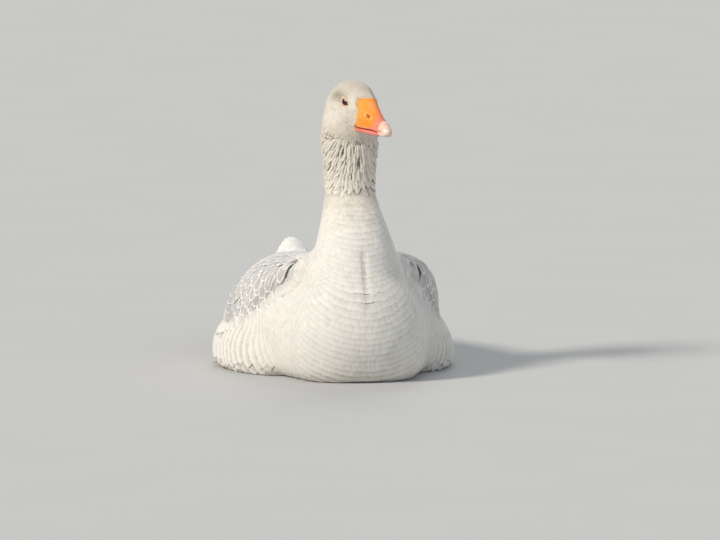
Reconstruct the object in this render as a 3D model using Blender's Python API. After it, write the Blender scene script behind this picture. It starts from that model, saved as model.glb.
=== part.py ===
"""A domestic goose lying on the ground with its neck upright and its head turned to its left.

Metres, +Z up. The breast points to -Y and the bird's left side is at +X. The belly rests on Z = 0,
and the origin lies under the middle of the body. Everything is the outer form of the plumage.
"""

import math

import bmesh
import bpy
import numpy as np
from mathutils import Matrix, Vector

MM = 0.001
GAP = 0.0003                 # clearance between neighbouring pieces
SKIN_VOXEL = 0.003           # mesh size at which the fleshy forms melt together
BLEND_PASSES = 16            # smoothing passes that soften the joins of those forms
FACE_FIRMNESS = 0.75         # share by which that smoothing is held back on the face
FLESH_TRIANGLES = 2100       # triangles kept on head, neck and body before they are parted

# The body from breast to rump. Rows: y, half width, height of the widest level, top, underside.
TRUNK = (
    (-0.203, 0.066, 0.062, 0.134, -0.004),
    (-0.170, 0.078, 0.050, 0.140, -0.008),
    (-0.135, 0.085, 0.040, 0.142, -0.012),
    (-0.080, 0.104, 0.036, 0.142, -0.012),
    (-0.010, 0.119, 0.036, 0.138, -0.012),
    (0.070, 0.114, 0.040, 0.129, -0.012),
    (0.140, 0.094, 0.046, 0.114, -0.010),
    (0.190, 0.070, 0.052, 0.100, 0.002),
    (0.225, 0.048, 0.062, 0.094, 0.020),
    (0.256, 0.032, 0.072, 0.094, 0.046),
)
TRUNK_ROUND = (0.052, 0.022)      # lengths over which the breast and the rump round off
TRUNK_SQUARE = (1.85, 2.5)        # superellipse powers above and below the widest level

# The neck's axis in the plane X = 0. Rows: height, y, half width, half depth.
NECK = (
    (0.080, -0.112, 0.072, 0.070),
    (0.125, -0.117, 0.059, 0.062),
    (0.159, -0.113, 0.0465, 0.048),
    (0.183, -0.102, 0.0385, 0.039),
    (0.206, -0.092, 0.0325, 0.033),
    (0.234, -0.086, 0.0305, 0.0315),
    (0.272, -0.087, 0.0340, 0.033),
    (0.297, -0.088, 0.0362, 0.035),
    (0.318, -0.090, 0.0300, 0.030),
)

# The head's own frame: origin between the eyes, x forward, y to its left, z up.
HEAD_AT = Vector((0.0077, -0.111, 0.3297))
HEAD_TURN = math.radians(17.0)    # turned to the bird's left
HEAD_NOD = math.radians(3.5)      # bill lowered
HEAD_TILT = math.radians(3.8)     # left cheek lowered

# Head sections in that frame, in mm. Rows: forward, half width, widest level, top, underside.
HEAD = (
    (-52, 20.0, -14, 9, -34),
    (-44, 25.5, -15, 15, -40),
    (-32, 28.0, -15, 21.5, -42),
    (-18, 26.5, -13, 24.6, -41),
    (-6, 23.8, -12, 24.2, -40),
    (5, 20.4, -12, 21.6, -38),
    (12, 17.0, -12, 18.8, -37),
    (18, 13.2, -12, 15.0, -36),
    (24, 10.4, -11, 12.8, -35),
    (30, 8.2, -10, 11.0, -34.4),
    (37, 6.4, -12, 7.6, -33.8),
    (44, 6.4, -28, -20, -33.4),
)
HEAD_ROUND = (12.0, 5.0)
HEAD_SQUARE = (2.0, 2.3)

# Upper bill in the head's frame, in mm. Rows: forward, half width at the edge, ridge, edge.
BILL = (
    (2, 11.6, 9.0, -27.0),
    (17, 13.6, 10.2, -27.6),
    (28, 13.6, 9.8, -27.2),
    (36, 13.2, 6.8, -26.6),
    (45, 12.3, 0.0, -26.0),
    (54, 11.2, -6.8, -26.0),
    (63, 10.0, -12.6, -26.4),
    (71, 8.6, -16.4, -27.2),
)
BILL_SQUARE = (3.2, 1.9)          # superellipse power of the arch at the base and from the nail on
# The nail caps the tip of the upper bill. Same columns.
NAIL = (
    (62, 9.8, -11.6, -27.0),
    (67, 9.5, -13.8, -27.8),
    (72, 8.2, -16.4, -28.8),
    (76, 6.0, -18.8, -29.2),
    (79, 3.2, -21.8, -28.4),
)
# Lower bill. Rows: forward, half width, top, underside.
LOWER_BILL = (
    (2, 9.4, -28.6, -32.4),
    (20, 11.4, -28.2, -33.6),
    (36, 11.4, -27.2, -33.8),
    (52, 10.4, -26.6, -33.2),
    (62, 9.0, -27.2, -32.6),
    (70, 6.4, -28.6, -31.8),
)

EYE_RADIUS = 6.2 * MM
EYE_AT = (-0.5 * MM, 16.9 * MM, -1.1 * MM)  # forward, to the side, up

# Folded wing on the left side. Rows: y, upper edge (x, z), crest of the fold (x, z), lower edge (x, z).
WING = (
    (-0.112, 0.044, 0.137, 0.056, 0.140, 0.062, 0.130),
    (-0.095, 0.036, 0.138, 0.080, 0.143, 0.082, 0.117),
    (-0.070, 0.028, 0.138, 0.099, 0.146, 0.099, 0.098),
    (-0.035, 0.022, 0.137, 0.114, 0.145, 0.116, 0.076),
    (0.000, 0.018, 0.135, 0.117, 0.142, 0.125, 0.057),
    (0.040, 0.017, 0.131, 0.108, 0.142, 0.125, 0.043),
    (0.080, 0.018, 0.125, 0.100, 0.135, 0.122, 0.035),
    (0.120, 0.021, 0.117, 0.090, 0.121, 0.113, 0.035),
    (0.160, 0.028, 0.106, 0.080, 0.105, 0.098, 0.040),
    (0.200, 0.037, 0.094, 0.068, 0.091, 0.080, 0.047),
    (0.235, 0.044, 0.083, 0.058, 0.079, 0.066, 0.053),
)
WING_THICKNESS = 0.011
# Long flight feathers that show behind the wing. Same columns.
FLIGHT = (
    (0.205, 0.050, 0.084, 0.066, 0.078, 0.072, 0.052),
    (0.235, 0.047, 0.077, 0.059, 0.072, 0.063, 0.052),
    (0.260, 0.044, 0.070, 0.053, 0.067, 0.055, 0.052),
    (0.282, 0.042, 0.064, 0.047, 0.061, 0.048, 0.053),
)
FLIGHT_THICKNESS = 0.0045
EDGE_THICKNESS = 0.0016           # feather edges of wing, flight feathers and tail

# Tail fan. Rows: y, height of the middle, half width, droop of the sides.
TAIL = (
    (0.188, 0.080, 0.024, 0.008),
    (0.214, 0.090, 0.031, 0.018),
    (0.240, 0.103, 0.034, 0.026),
    (0.262, 0.1130, 0.031, 0.028),
    (0.280, 0.1200, 0.022, 0.019),
    (0.291, 0.1230, 0.010, 0.004),
)
TAIL_THICKNESS = 0.006

THIGH_AT = (0.094, 0.002, 0.022)         # centre of the flank lobe over the folded leg
THIGH_RADII = (0.049, 0.104, 0.044)
THIGH_SPLAY = math.radians(-7.0)          # lobe's front end turned inwards

SHANK_BACK = (0.052, 0.104)               # heel joint in plan
SHANK_FRONT = (0.050, 0.030)              # where the toes start
SHANK_RADII = (0.0085, 0.0062)
TOE_HEADINGS = (-26.0, 0.0, 26.0)         # of the three front toes, in degrees from straight ahead
TOE_LENGTHS = (0.068, 0.080, 0.072)
TOE_HEIGHT = 0.0068
TOE_SPREAD = 4.5                          # half width of a toe, in degrees
WEB_THICKNESS = 0.0024
BED_MARGIN = 0.002                        # room round a foot in its hollow of the belly
WEB_SCALLOP = 0.13                        # how far the web's edge falls back between toes

# Planes that part the flesh: height and y of a point on them, and their slope towards the front.
HEAD_CUT = (0.2855, -0.088, 0.10)
NECK_CUTS = ((0.2390, -0.085, 0.04), (0.1930, -0.099, -0.20), (0.1480, -0.117, -0.42))
BODY_CUTS = (-0.058, 0.140)

PLUMAGE_WHITE = (0.80, 0.78, 0.74)
PLUMAGE_CREAM = (0.71, 0.66, 0.58)
PLUMAGE_GREY = (0.52, 0.51, 0.50)
FLIGHT_GREY = (0.10, 0.10, 0.11)
BILL_ORANGE = (0.95, 0.33, 0.06)
NAIL_PINK = (0.90, 0.66, 0.58)
EYE_BROWN = (0.08, 0.03, 0.015)
LEG_ORANGE = (0.88, 0.36, 0.12)


def clear_scene():
    for thing in list(bpy.data.objects):
        bpy.data.objects.remove(thing, do_unlink=True)


def material(name, colour, roughness):
    made = bpy.data.materials.new(name)
    made.use_nodes = True
    shader = made.node_tree.nodes["Principled BSDF"]
    shader.inputs["Base Color"].default_value = (*colour, 1.0)
    shader.inputs["Roughness"].default_value = roughness
    shader.inputs["Metallic"].default_value = 0.0
    return made


def station(rows, at):
    """One row of a table, interpolated with a smooth monotone curve through its rows."""
    table = np.array(rows, dtype=float)
    places, values = table[:, 0], table[:, 1:]
    steps = np.diff(places)
    slopes = np.diff(values, axis=0) / steps[:, None]
    tangents = np.vstack([slopes[:1], (slopes[1:] + slopes[:-1]) / 2, slopes[-1:]])
    turning = slopes[1:] * slopes[:-1] <= 0
    tangents[1:-1][turning] = 0.0
    i = int(np.clip(np.searchsorted(places, at) - 1, 0, len(steps) - 1))
    t = (at - places[i]) / steps[i]
    start = (2 * t**3 - 3 * t**2 + 1) * values[i] + (t**3 - 2 * t**2 + t) * steps[i] * tangents[i]
    end = (3 * t**2 - 2 * t**3) * values[i + 1] + (t**3 - t**2) * steps[i] * tangents[i + 1]
    return start + end


def round_off(at, first, last, lengths):
    """Share of the full section left at a place, so that both ends close in a quarter round."""
    front = min(1.0, (at - first) / lengths[0])
    back = min(1.0, (last - at) / lengths[1])
    return math.sqrt(max(0.0, 1 - (1 - front) ** 2)) * math.sqrt(max(0.0, 1 - (1 - back) ** 2))


def superellipse(angle, power):
    c, s = math.cos(angle), math.sin(angle)
    return (math.copysign(abs(c) ** (2 / power), c), math.copysign(abs(s) ** (2 / power), s))


def add_object(name, vertices, faces, look=None):
    """A mesh of triangles facing outwards, so that a grown copy of it keeps the same folds."""
    mesh = bpy.data.meshes.new(name)
    mesh.from_pydata([tuple(v) for v in vertices], [], faces)
    shape = bmesh.new()
    shape.from_mesh(mesh)
    bmesh.ops.triangulate(shape, faces=shape.faces)
    bmesh.ops.recalc_face_normals(shape, faces=shape.faces)
    shape.to_mesh(mesh)
    shape.free()
    thing = bpy.data.objects.new(name, mesh)
    bpy.context.scene.collection.objects.link(thing)
    if look:
        mesh.materials.append(look)
    return thing


def loft(name, rings, look=None):
    """A closed skin over rings with the same number of points, with a fan over each end."""
    count = len(rings[0])
    vertices = [point for ring in rings for point in ring]
    faces = []
    for k in range(len(rings) - 1):
        for j in range(count):
            a, b = k * count + j, k * count + (j + 1) % count
            faces.append((a, b, b + count, a + count))
    for k in (0, len(rings) - 1):
        middle = len(vertices)
        vertices.append(np.mean(rings[k], axis=0))
        faces += [(middle, k * count + j, k * count + (j + 1) % count) for j in range(count)]
    return add_object(name, vertices, faces, look)


def lengthwise(rows, rounding, powers, places, count):
    """Rings across a form that runs along the first axis, from rows of widths and heights."""
    first, last = rows[0][0], rows[-1][0]
    rings = []
    for at in places:
        width, waist, top, bottom = station(rows, at)
        share = round_off(at, first, last, rounding)
        ring = []
        for j in range(count):
            angle = 2 * math.pi * j / count
            across, up = superellipse(angle, powers[0] if angle < math.pi else powers[1])
            reach = (top - waist) if up > 0 else (waist - bottom)
            ring.append((at, across * width * share, waist + up * reach * share))
        rings.append(np.array(ring))
    return rings


def spread(first, last, count, ease=0.6):
    """Places from first to last, closer together towards both ends."""
    even = np.linspace(0.0, 1.0, count)
    eased = (1 - np.cos(math.pi * even)) / 2
    share = ease * eased + (1 - ease) * even
    share = 0.002 + 0.996 * share
    return first + (last - first) * share


def head_matrix():
    """Turns points of the head's frame into world points."""
    heading = Matrix.Rotation(HEAD_TURN - math.pi / 2, 3, "Z")
    nod = Matrix.Rotation(HEAD_NOD, 3, "Y")
    tilt = Matrix.Rotation(-HEAD_TILT, 3, "X")
    return Matrix.Translation(HEAD_AT) @ (heading @ nod @ tilt).to_4x4()


def in_head(points, unit=MM):
    matrix = head_matrix()
    return np.array([matrix @ (Vector(p) * unit) for p in points])


def evaluated(thing):
    """Replaces an object's mesh with the result of its modifiers."""
    mesh = bpy.data.meshes.new_from_object(thing.evaluated_get(bpy.context.evaluated_depsgraph_get()))
    thing.modifiers.clear()
    thing.data = mesh
    return thing


def discard(*things):
    for thing in things:
        bpy.data.objects.remove(thing, do_unlink=True)


def copy_of(thing, name, grow=0.0):
    """A copy of an object's mesh, grown outwards along its normals."""
    twin = bpy.data.objects.new(name, thing.data.copy())
    bpy.context.scene.collection.objects.link(twin)
    if grow:
        for vertex in twin.data.vertices:
            vertex.co += vertex.normal * grow
    return twin


def cut_away(thing, *tools, grow=GAP * 1.3):
    """Removes each tool's shape from an object and leaves a clearance round it."""
    for tool in tools:
        cutter = copy_of(tool, tool.name + ".cutter", grow)
        cut = thing.modifiers.new("cut", "BOOLEAN")
        cut.operation = "DIFFERENCE"
        cut.solver = "EXACT"
        cut.object = cutter
        evaluated(thing)
        discard(cutter)
    return thing


def keep_side(thing, point, normal):
    """Keeps what lies on the side a plane's normal points away from, and closes the cut."""
    shape = bmesh.new()
    shape.from_mesh(thing.data)
    cut = bmesh.ops.bisect_plane(
        shape,
        geom=shape.verts[:] + shape.edges[:] + shape.faces[:],
        dist=1e-7,
        plane_co=point,
        plane_no=normal,
        clear_outer=True,
    )
    rim = [edge for edge in cut["geom_cut"] if isinstance(edge, bmesh.types.BMEdge)]
    bmesh.ops.edgenet_fill(shape, edges=rim)
    bmesh.ops.recalc_face_normals(shape, faces=shape.faces)
    shape.to_mesh(thing.data)
    shape.free()
    return thing


def rest_on_floor(thing):
    """Cuts an object off flat at floor level."""
    return keep_side(thing, (0, 0, 0), (0, 0, -1))


def trunk_form():
    rings = lengthwise(TRUNK, TRUNK_ROUND, TRUNK_SQUARE, spread(TRUNK[0][0], TRUNK[-1][0], 44), 56)
    return loft("trunk_form", [ring[:, [1, 0, 2]] for ring in rings])


def neck_form():
    """A tube round the neck's axis, each ring square to it."""
    heights = np.linspace(NECK[0][0], NECK[-1][0], 30)
    rings = []
    for height in heights:
        y, width, depth = station(NECK, height)
        ahead = station(NECK, min(height + 0.002, NECK[-1][0]))[0]
        behind = station(NECK, max(height - 0.002, NECK[0][0]))[0]
        lean = math.atan2(ahead - behind, 0.004)
        ring = []
        for j in range(48):
            angle = 2 * math.pi * j / 48
            back = math.sin(angle) * depth
            ring.append((math.cos(angle) * width, y + back * math.cos(lean), height - back * math.sin(lean)))
        rings.append(np.array(ring))
    return loft("neck_form", rings)


def head_form():
    rings = lengthwise(HEAD, HEAD_ROUND, HEAD_SQUARE, spread(HEAD[0][0], HEAD[-1][0], 30), 44)
    return loft("head_form", [in_head(ring) for ring in rings])


def flesh_form():
    """Head, neck and body melted into one smooth closed form."""
    forms = [trunk_form(), neck_form(), head_form()]
    whole = copy_of(forms[0], "flesh")
    shape = bmesh.new()
    for form in forms:
        shape.from_mesh(form.data)
    shape.to_mesh(whole.data)
    shape.free()
    discard(*forms)
    melt = whole.modifiers.new("melt", "REMESH")
    melt.mode = "VOXEL"
    melt.voxel_size = SKIN_VOXEL
    evaluated(whole)
    plumage = whole.vertex_groups.new(name="plumage")
    face = in_head([(26, 0, -10)])[0]
    for vertex in whole.data.vertices:
        near = max(0.0, 1 - (vertex.co - Vector(face)).length / 0.045)
        plumage.add([vertex.index], 1 - FACE_FIRMNESS * min(1.0, 2 * near), "REPLACE")
    soften = whole.modifiers.new("soften", "SMOOTH")
    soften.factor = 0.5
    soften.iterations = BLEND_PASSES
    soften.vertex_group = plumage.name
    evaluated(whole)
    thin = whole.modifiers.new("thin", "DECIMATE")
    thin.ratio = FLESH_TRIANGLES / (2 * len(whole.data.polygons))
    return evaluated(whole)


def slab_between(flesh, name, below, above, look):
    """One length of the flesh between two planes, each a point and an upward or backward normal."""
    piece = copy_of(flesh, name)
    piece.data.materials.append(look)
    for plane, side in ((below, -1), (above, 1)):
        if plane:
            point, normal = plane
            inset = Vector(point) - Vector(normal) * side * GAP / 2
            keep_side(piece, inset, Vector(normal) * side)
    return piece


def neck_plane(cut):
    height, y, slope = cut
    return Vector((0, y, height)), Vector((0, slope, 1)).normalized()


def part_flesh(flesh, looks):
    """Parts the flesh into head, three lengths of neck, breast, trunk and rump."""
    head_cut = neck_plane(HEAD_CUT)
    upper, middle, lower = (neck_plane(cut) for cut in NECK_CUTS)
    front, back = ((Vector((0, y, 0)), Vector((0, 1, 0))) for y in BODY_CUTS)
    pieces = {
        "head": slab_between(flesh, "head", head_cut, None, looks["cream"]),
        "neck_upper": slab_between(flesh, "neck_upper", upper, head_cut, looks["cream"]),
        "neck_middle": slab_between(flesh, "neck_middle", middle, upper, looks["cream"]),
        "neck_lower": slab_between(flesh, "neck_lower", lower, middle, looks["white"]),
    }
    body = slab_between(flesh, "body", None, lower, looks["white"])
    rest_on_floor(body)
    pieces["breast"] = slab_between(body, "breast", None, front, looks["white"])
    pieces["trunk"] = slab_between(body, "trunk", front, back, looks["white"])
    pieces["rump"] = slab_between(body, "rump", back, None, looks["white"])
    discard(body)
    return pieces


def blade_ring(upper, crest, lower, y, thickness, count):
    """Ring round a curved blade: its outer face from upper to lower edge, then its inner face back."""
    outer, inner = [], []
    upper, crest, lower = (Vector(p) for p in (upper, crest, lower))
    for k in range(count):
        v = k / (count - 1)
        point = upper * (1 - v) ** 2 + crest * 2 * v * (1 - v) + lower * v**2
        along = (crest - upper) * (1 - v) + (lower - crest) * v
        normal = Vector((-along.y, along.x)).normalized()
        if normal.dot(crest - (upper + lower) / 2) < 0:
            normal = -normal
        full = 1 - abs(2 * v - 1) ** 4
        half = (EDGE_THICKNESS + (thickness - EDGE_THICKNESS) * full) / 2
        outer.append(point + normal * half)
        inner.append(point - normal * half)
    return np.array([(p.x, y, p.y) for p in outer + inner[::-1]])


def blade(name, rows, thickness, side, look, count, across):
    """Wing-like blade along the flank. side is 1 for the left and -1 for the right."""
    rings = []
    first, last = rows[0][0], rows[-1][0]
    for y in spread(first, last, count, 0.8):
        row = station(rows, y)
        share = round_off(y, first, last, (0.018, 0.022))
        upper, crest, lower = row[0:2], row[2:4], row[4:6]
        middle = (upper + 2 * crest + lower) / 4
        depth = EDGE_THICKNESS + (thickness - EDGE_THICKNESS) * share
        shrunk = [middle + (point - middle) * (0.25 + 0.75 * share) for point in (upper, crest, lower)]
        ring = blade_ring(*shrunk, y, depth, across)
        rings.append(ring * (side, 1, 1))
    return loft(name, rings, look)


def tail(look):
    """A rounded fan of feathers, arched across and raised towards its tip."""
    rings = []
    for y in np.linspace(TAIL[0][0], TAIL[-1][0], 10):
        height, width, droop = station(TAIL, y)
        share = (y - TAIL[0][0]) / (TAIL[-1][0] - TAIL[0][0])
        depth = TAIL_THICKNESS + (EDGE_THICKNESS - TAIL_THICKNESS) * share
        top, under = [], []
        for v in np.linspace(-1, 1, 9):
            z = height - droop * v * v
            half = (EDGE_THICKNESS + (depth - EDGE_THICKNESS) * (1 - v**4)) / 2
            top.append((v * width, y, z + half))
            under.append((v * width, y, z - half))
        rings.append(np.array(top + under[::-1]))
    return loft("tail", rings, look)


def ball(name, place, radii, look, segments, rings):
    """An ellipsoid, its centre and turn given by a matrix."""
    shape = bmesh.new()
    bmesh.ops.create_uvsphere(shape, u_segments=segments, v_segments=rings, radius=1.0)
    bmesh.ops.transform(shape, matrix=place @ Matrix.Diagonal((*radii, 1.0)), verts=shape.verts)
    mesh = bpy.data.meshes.new(name)
    shape.to_mesh(mesh)
    shape.free()
    thing = bpy.data.objects.new(name, mesh)
    bpy.context.scene.collection.objects.link(thing)
    mesh.materials.append(look)
    return thing


def eye(name, side, look):
    forward, across, up = EYE_AT
    place = head_matrix() @ Matrix.Translation((forward, across * side, up))
    return ball(name, place, (EYE_RADIUS,) * 3, look, 14, 8)


def arch_ring(at, width, ridge, edge, count=11):
    """Section of the upper bill: an arch from edge to edge over a shallow hollow."""
    share = (at - BILL[0][0]) / (NAIL[0][0] - BILL[0][0])
    power = BILL_SQUARE[0] + (BILL_SQUARE[1] - BILL_SQUARE[0]) * min(1.0, share)
    ring = []
    for j in range(count):
        across, up = superellipse(math.pi * j / (count - 1), power)
        ring.append((at, across * width, edge + up * (ridge - edge)))
    under = [(at, -width * s, edge - 0.8 * (1 - s * s)) for s in (0.6, 0.0, -0.6)]
    return in_head(ring + under)


def bill_upper(look):
    rings = [arch_ring(at, *station(BILL, at)) for at in np.linspace(BILL[0][0], BILL[-1][0], 9)]
    return loft("bill_upper", rings, look)


def bill_nail(look):
    rings = [arch_ring(at, *station(NAIL, at)) for at in np.linspace(NAIL[0][0], NAIL[-1][0], 5)]
    tip = np.mean(rings[-1], axis=0)
    rings.append(tip + (rings[-1] - tip) * 0.45 + (rings[-1] - rings[-2]).mean(axis=0) * 0.25)
    return loft("bill_nail", rings, look)


def bill_lower(look):
    rings = []
    for at in np.linspace(LOWER_BILL[0][0], LOWER_BILL[-1][0], 7):
        width, top, under = station(LOWER_BILL, at)
        ring = []
        for j in range(12):
            across, up = superellipse(2 * math.pi * j / 12, 2.6)
            ring.append((at, across * width, (top + under) / 2 + up * (top - under) / 2))
        rings.append(in_head(ring))
    return loft("bill_lower", rings, look)


def thigh(name, side, look):
    """Feathered lobe of the flank over the folded leg, cut flat where it lies on the floor."""
    x, y, z = THIGH_AT
    place = Matrix.Translation((x * side, y, z)) @ Matrix.Rotation(THIGH_SPLAY * side, 4, "Z")
    return rest_on_floor(ball(name, place, THIGH_RADII, look, 16, 9))


def rod(name, ends, radii, look, count=12):
    """Tapered rod between two points, its ends rounded."""
    start, end = (Vector(p) for p in ends)
    axis = (end - start).normalized()
    side = axis.cross(Vector((0, 0, 1))).normalized()
    over = side.cross(axis)
    rings = []
    for share, scale in ((0.0, 0.35), (0.04, 0.8), (0.12, 1.0), (0.88, 1.0), (0.96, 0.8), (1.0, 0.35)):
        centre = start.lerp(end, share)
        radius = (radii[0] + (radii[1] - radii[0]) * share) * scale
        ring = []
        for j in range(count):
            angle = 2 * math.pi * j / count
            ring.append(centre + (side * math.cos(angle) + over * math.sin(angle)) * radius)
        rings.append(np.array(ring))
    return loft(name, rings, look)


def shank(name, side, look):
    """Scaly lower leg, laid forward along the floor under the belly."""
    points = []
    for (x, y), radius in zip((SHANK_BACK, SHANK_FRONT), SHANK_RADII):
        points.append((x * side, y, radius * 0.9))
    return rest_on_floor(rod(name, points, SHANK_RADII, look))


def foot(name, side, look):
    """Webbed foot flat on the floor: three front toes that fan out, joined by a thin web."""
    root = Vector((SHANK_FRONT[0] * side, SHANK_FRONT[1] - 0.004, 0.0))
    lengths = TOE_LENGTHS[::side]
    limit = TOE_HEADINGS[-1] + TOE_SPREAD
    headings = np.linspace(-limit, limit, 15)
    rings = []
    for share in (0.08, 0.4, 0.75, 0.95, 1.0):
        top = []
        for heading in headings:
            off = min(abs(heading - toe) for toe in TOE_HEADINGS)
            toe = max(0.0, 1 - (off / TOE_SPREAD) ** 2)
            length = np.interp(heading, TOE_HEADINGS, lengths)
            reach = length * (1 - WEB_SCALLOP * min(1.0, off / TOE_SPREAD / 1.5)) * share
            turn = math.radians(heading)
            height = WEB_THICKNESS + (TOE_HEIGHT * (1 - 0.45 * share) - WEB_THICKNESS) * math.sqrt(toe)
            if share == 1.0:
                height *= 0.6
            top.append(root + Vector((math.sin(turn) * reach, -math.cos(turn) * reach, height)))
        floor = [Vector((p.x, p.y, 0.0)) for p in top]
        rings.append(np.array(top + floor[::-1]))
    return loft(name, rings, look)


def foot_bed(side):
    """Wedge-shaped hollow of the belly in which one flat foot lies."""
    root = Vector((SHANK_FRONT[0] * side, SHANK_FRONT[1] - 0.004, 0.0))
    heel = root + Vector((0, 2 * BED_MARGIN, 0))
    reach = max(TOE_LENGTHS) + BED_MARGIN
    limit = TOE_HEADINGS[-1] + TOE_SPREAD + 3.0
    outline = [heel - Vector((3 * BED_MARGIN, 0, 0))]
    for heading in np.linspace(-limit, limit, 7):
        turn = math.radians(heading)
        outline.append(root + Vector((math.sin(turn), -math.cos(turn), 0)) * reach)
    outline.append(heel + Vector((3 * BED_MARGIN, 0, 0)))
    heights = (-BED_MARGIN, TOE_HEIGHT + BED_MARGIN / 2)
    return loft("foot_bed", [np.array([(p.x, p.y, z) for p in outline]) for z in heights])


def shade(thing, degrees=40.0):
    thing.data.shade_smooth()
    thing.data.set_sharp_from_angle(angle=math.radians(degrees))


def build():
    clear_scene()
    looks = {
        "white": material("white plumage", PLUMAGE_WHITE, 0.9),
        "cream": material("cream plumage", PLUMAGE_CREAM, 0.9),
        "grey": material("grey wing plumage", PLUMAGE_GREY, 0.85),
        "flight": material("dark flight feathers", FLIGHT_GREY, 0.6),
        "bill": material("orange bill", BILL_ORANGE, 0.4),
        "nail": material("pale nail", NAIL_PINK, 0.35),
        "eye": material("brown eye", EYE_BROWN, 0.1),
        "leg": material("orange leg skin", LEG_ORANGE, 0.55),
    }
    flesh = flesh_form()
    pieces = part_flesh(flesh, looks)
    discard(flesh)

    sides = (("left", 1), ("right", -1))
    for label, side in sides:
        made = [
            eye("eye_" + label, side, looks["eye"]),
            blade("wing_" + label, WING, WING_THICKNESS, side, looks["grey"], 12, 8),
            blade("flight_" + label, FLIGHT, FLIGHT_THICKNESS, side, looks["flight"], 7, 5),
            thigh("thigh_" + label, side, looks["white"]),
            shank("shank_" + label, side, looks["leg"]),
            foot("foot_" + label, side, looks["leg"]),
        ]
        pieces.update((piece.name, piece) for piece in made)
    pieces["tail"] = tail(looks["white"])
    pieces["bill_nail"] = bill_nail(looks["nail"])
    pieces["bill_upper"] = bill_upper(looks["bill"])
    pieces["bill_lower"] = bill_lower(looks["bill"])

    for name in ("bill_upper", "bill_lower", "eye_left", "eye_right"):
        cut_away(pieces["head"], pieces[name])
    cut_away(pieces["bill_upper"], pieces["bill_nail"])
    cut_away(pieces["bill_lower"], pieces["bill_nail"], pieces["bill_upper"])
    for label, side in sides:
        wing, flight, lobe = (pieces[stem + label] for stem in ("wing_", "flight_", "thigh_"))
        lower_leg = (pieces["shank_" + label], foot_bed(side))
        keep_side(flight, (0, WING[-1][0] + GAP, 0), (0, -1, 0))
        for name in ("neck_lower", "breast", "trunk", "rump"):
            cut_away(pieces[name], wing, flight, lobe, *lower_leg)
        cut_away(pieces["tail"], wing, flight)
        cut_away(wing, lobe)
        cut_away(lobe, *lower_leg)
        cut_away(pieces["foot_" + label], pieces["shank_" + label])
        discard(lower_leg[1])
    cut_away(pieces["rump"], pieces["tail"])
    for piece in pieces.values():
        shade(piece)


build()
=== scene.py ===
"""Looks of a domestic goose that lies on the ground, with a plain stage.

Metres, +Z up, breast towards -Y, the bird's left at +X. One skin stands for all flesh, and closed feather
vanes lie over it in rows that spread from the bill, down the neck and out from the neck's base.
"""

import itertools
import math

import bmesh
import bpy
import numpy as np
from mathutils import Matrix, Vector
from mathutils.bvhtree import BVHTree


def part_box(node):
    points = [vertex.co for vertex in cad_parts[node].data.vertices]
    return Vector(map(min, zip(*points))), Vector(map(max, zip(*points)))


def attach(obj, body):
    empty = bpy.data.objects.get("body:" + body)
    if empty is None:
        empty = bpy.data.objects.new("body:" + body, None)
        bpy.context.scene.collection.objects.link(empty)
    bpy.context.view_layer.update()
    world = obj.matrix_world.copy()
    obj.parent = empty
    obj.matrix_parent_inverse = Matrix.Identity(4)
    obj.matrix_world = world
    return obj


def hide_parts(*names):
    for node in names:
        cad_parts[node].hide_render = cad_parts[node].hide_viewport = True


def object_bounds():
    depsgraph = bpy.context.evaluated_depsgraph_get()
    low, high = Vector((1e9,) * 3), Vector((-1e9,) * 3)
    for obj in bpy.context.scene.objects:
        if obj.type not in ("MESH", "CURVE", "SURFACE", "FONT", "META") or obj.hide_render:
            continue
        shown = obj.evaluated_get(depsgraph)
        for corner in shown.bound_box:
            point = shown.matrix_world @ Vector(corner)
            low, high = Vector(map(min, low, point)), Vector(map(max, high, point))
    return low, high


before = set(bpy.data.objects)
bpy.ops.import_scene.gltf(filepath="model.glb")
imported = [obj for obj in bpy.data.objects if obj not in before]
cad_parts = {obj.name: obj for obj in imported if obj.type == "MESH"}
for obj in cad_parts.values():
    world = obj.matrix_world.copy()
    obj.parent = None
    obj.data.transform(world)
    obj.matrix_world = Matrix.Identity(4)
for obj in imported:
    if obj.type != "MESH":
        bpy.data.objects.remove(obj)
CAD_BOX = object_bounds()

MM = 0.001
WINGS = ("wing_left", "wing_right")
CORE = ("neck_lower", "breast", "trunk", "rump", "thigh_left", "thigh_right")
FLESH = ("head", "neck_upper", "neck_middle") + CORE + WINGS
BILL_NODES = ("bill_upper", "bill_nail", "bill_lower")
EYE_NODES = ("eye_left", "eye_right")
SKIN_VOXEL = 0.0025
FILL_VOXEL = 0.0032
FLESH_MARGIN = 0.00045             # the flesh grows by this before it is melted into one
CREASE = 0.013                     # creases narrower than twice this are filled
FLOOR_CLEARANCE = 0.0004
BAKE_PATCH = 0.003                 # width of a vane's patch on the OFBake map
FAR = 9.0                          # a distance beyond every opening


# ---------------------------------------------------------------- small helpers

def smooth(low, high, value):
    """0 below low, 1 above high, and an S-curve between."""
    share = np.clip((np.asarray(value, float) - low) / (high - low), 0, 1)
    return share * share * (3 - 2 * share)


def unit(vectors):
    return vectors / np.maximum(np.linalg.norm(vectors, axis=-1, keepdims=True), 1e-12)


def flat_along(vectors, normals):
    """The part of each vector that lies in the surface, at length 1."""
    return unit(vectors - (vectors * normals).sum(-1, keepdims=True) * normals)


def blend_colours(first, second, share):
    share = np.asarray(share, float)[..., None]
    return np.asarray(first) * (1 - share) + np.asarray(second) * share


def layered(colour, *layers):
    """A colour with others laid over it, given as pairs of colour and share."""
    for over, share in layers:
        colour = blend_colours(colour, over, share)
    return colour


def spot(x, z, at, size):
    """1 at one place on the side of the head, fading out over size."""
    return np.exp(-(((x - at[0]) / size[0]) ** 2) - ((z - at[1]) / size[1]) ** 2)


def ring(r, radius, wide):
    """1 where r is radius, fading out to both sides."""
    return np.exp(-(((r - radius) / wide) ** 2))


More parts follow.
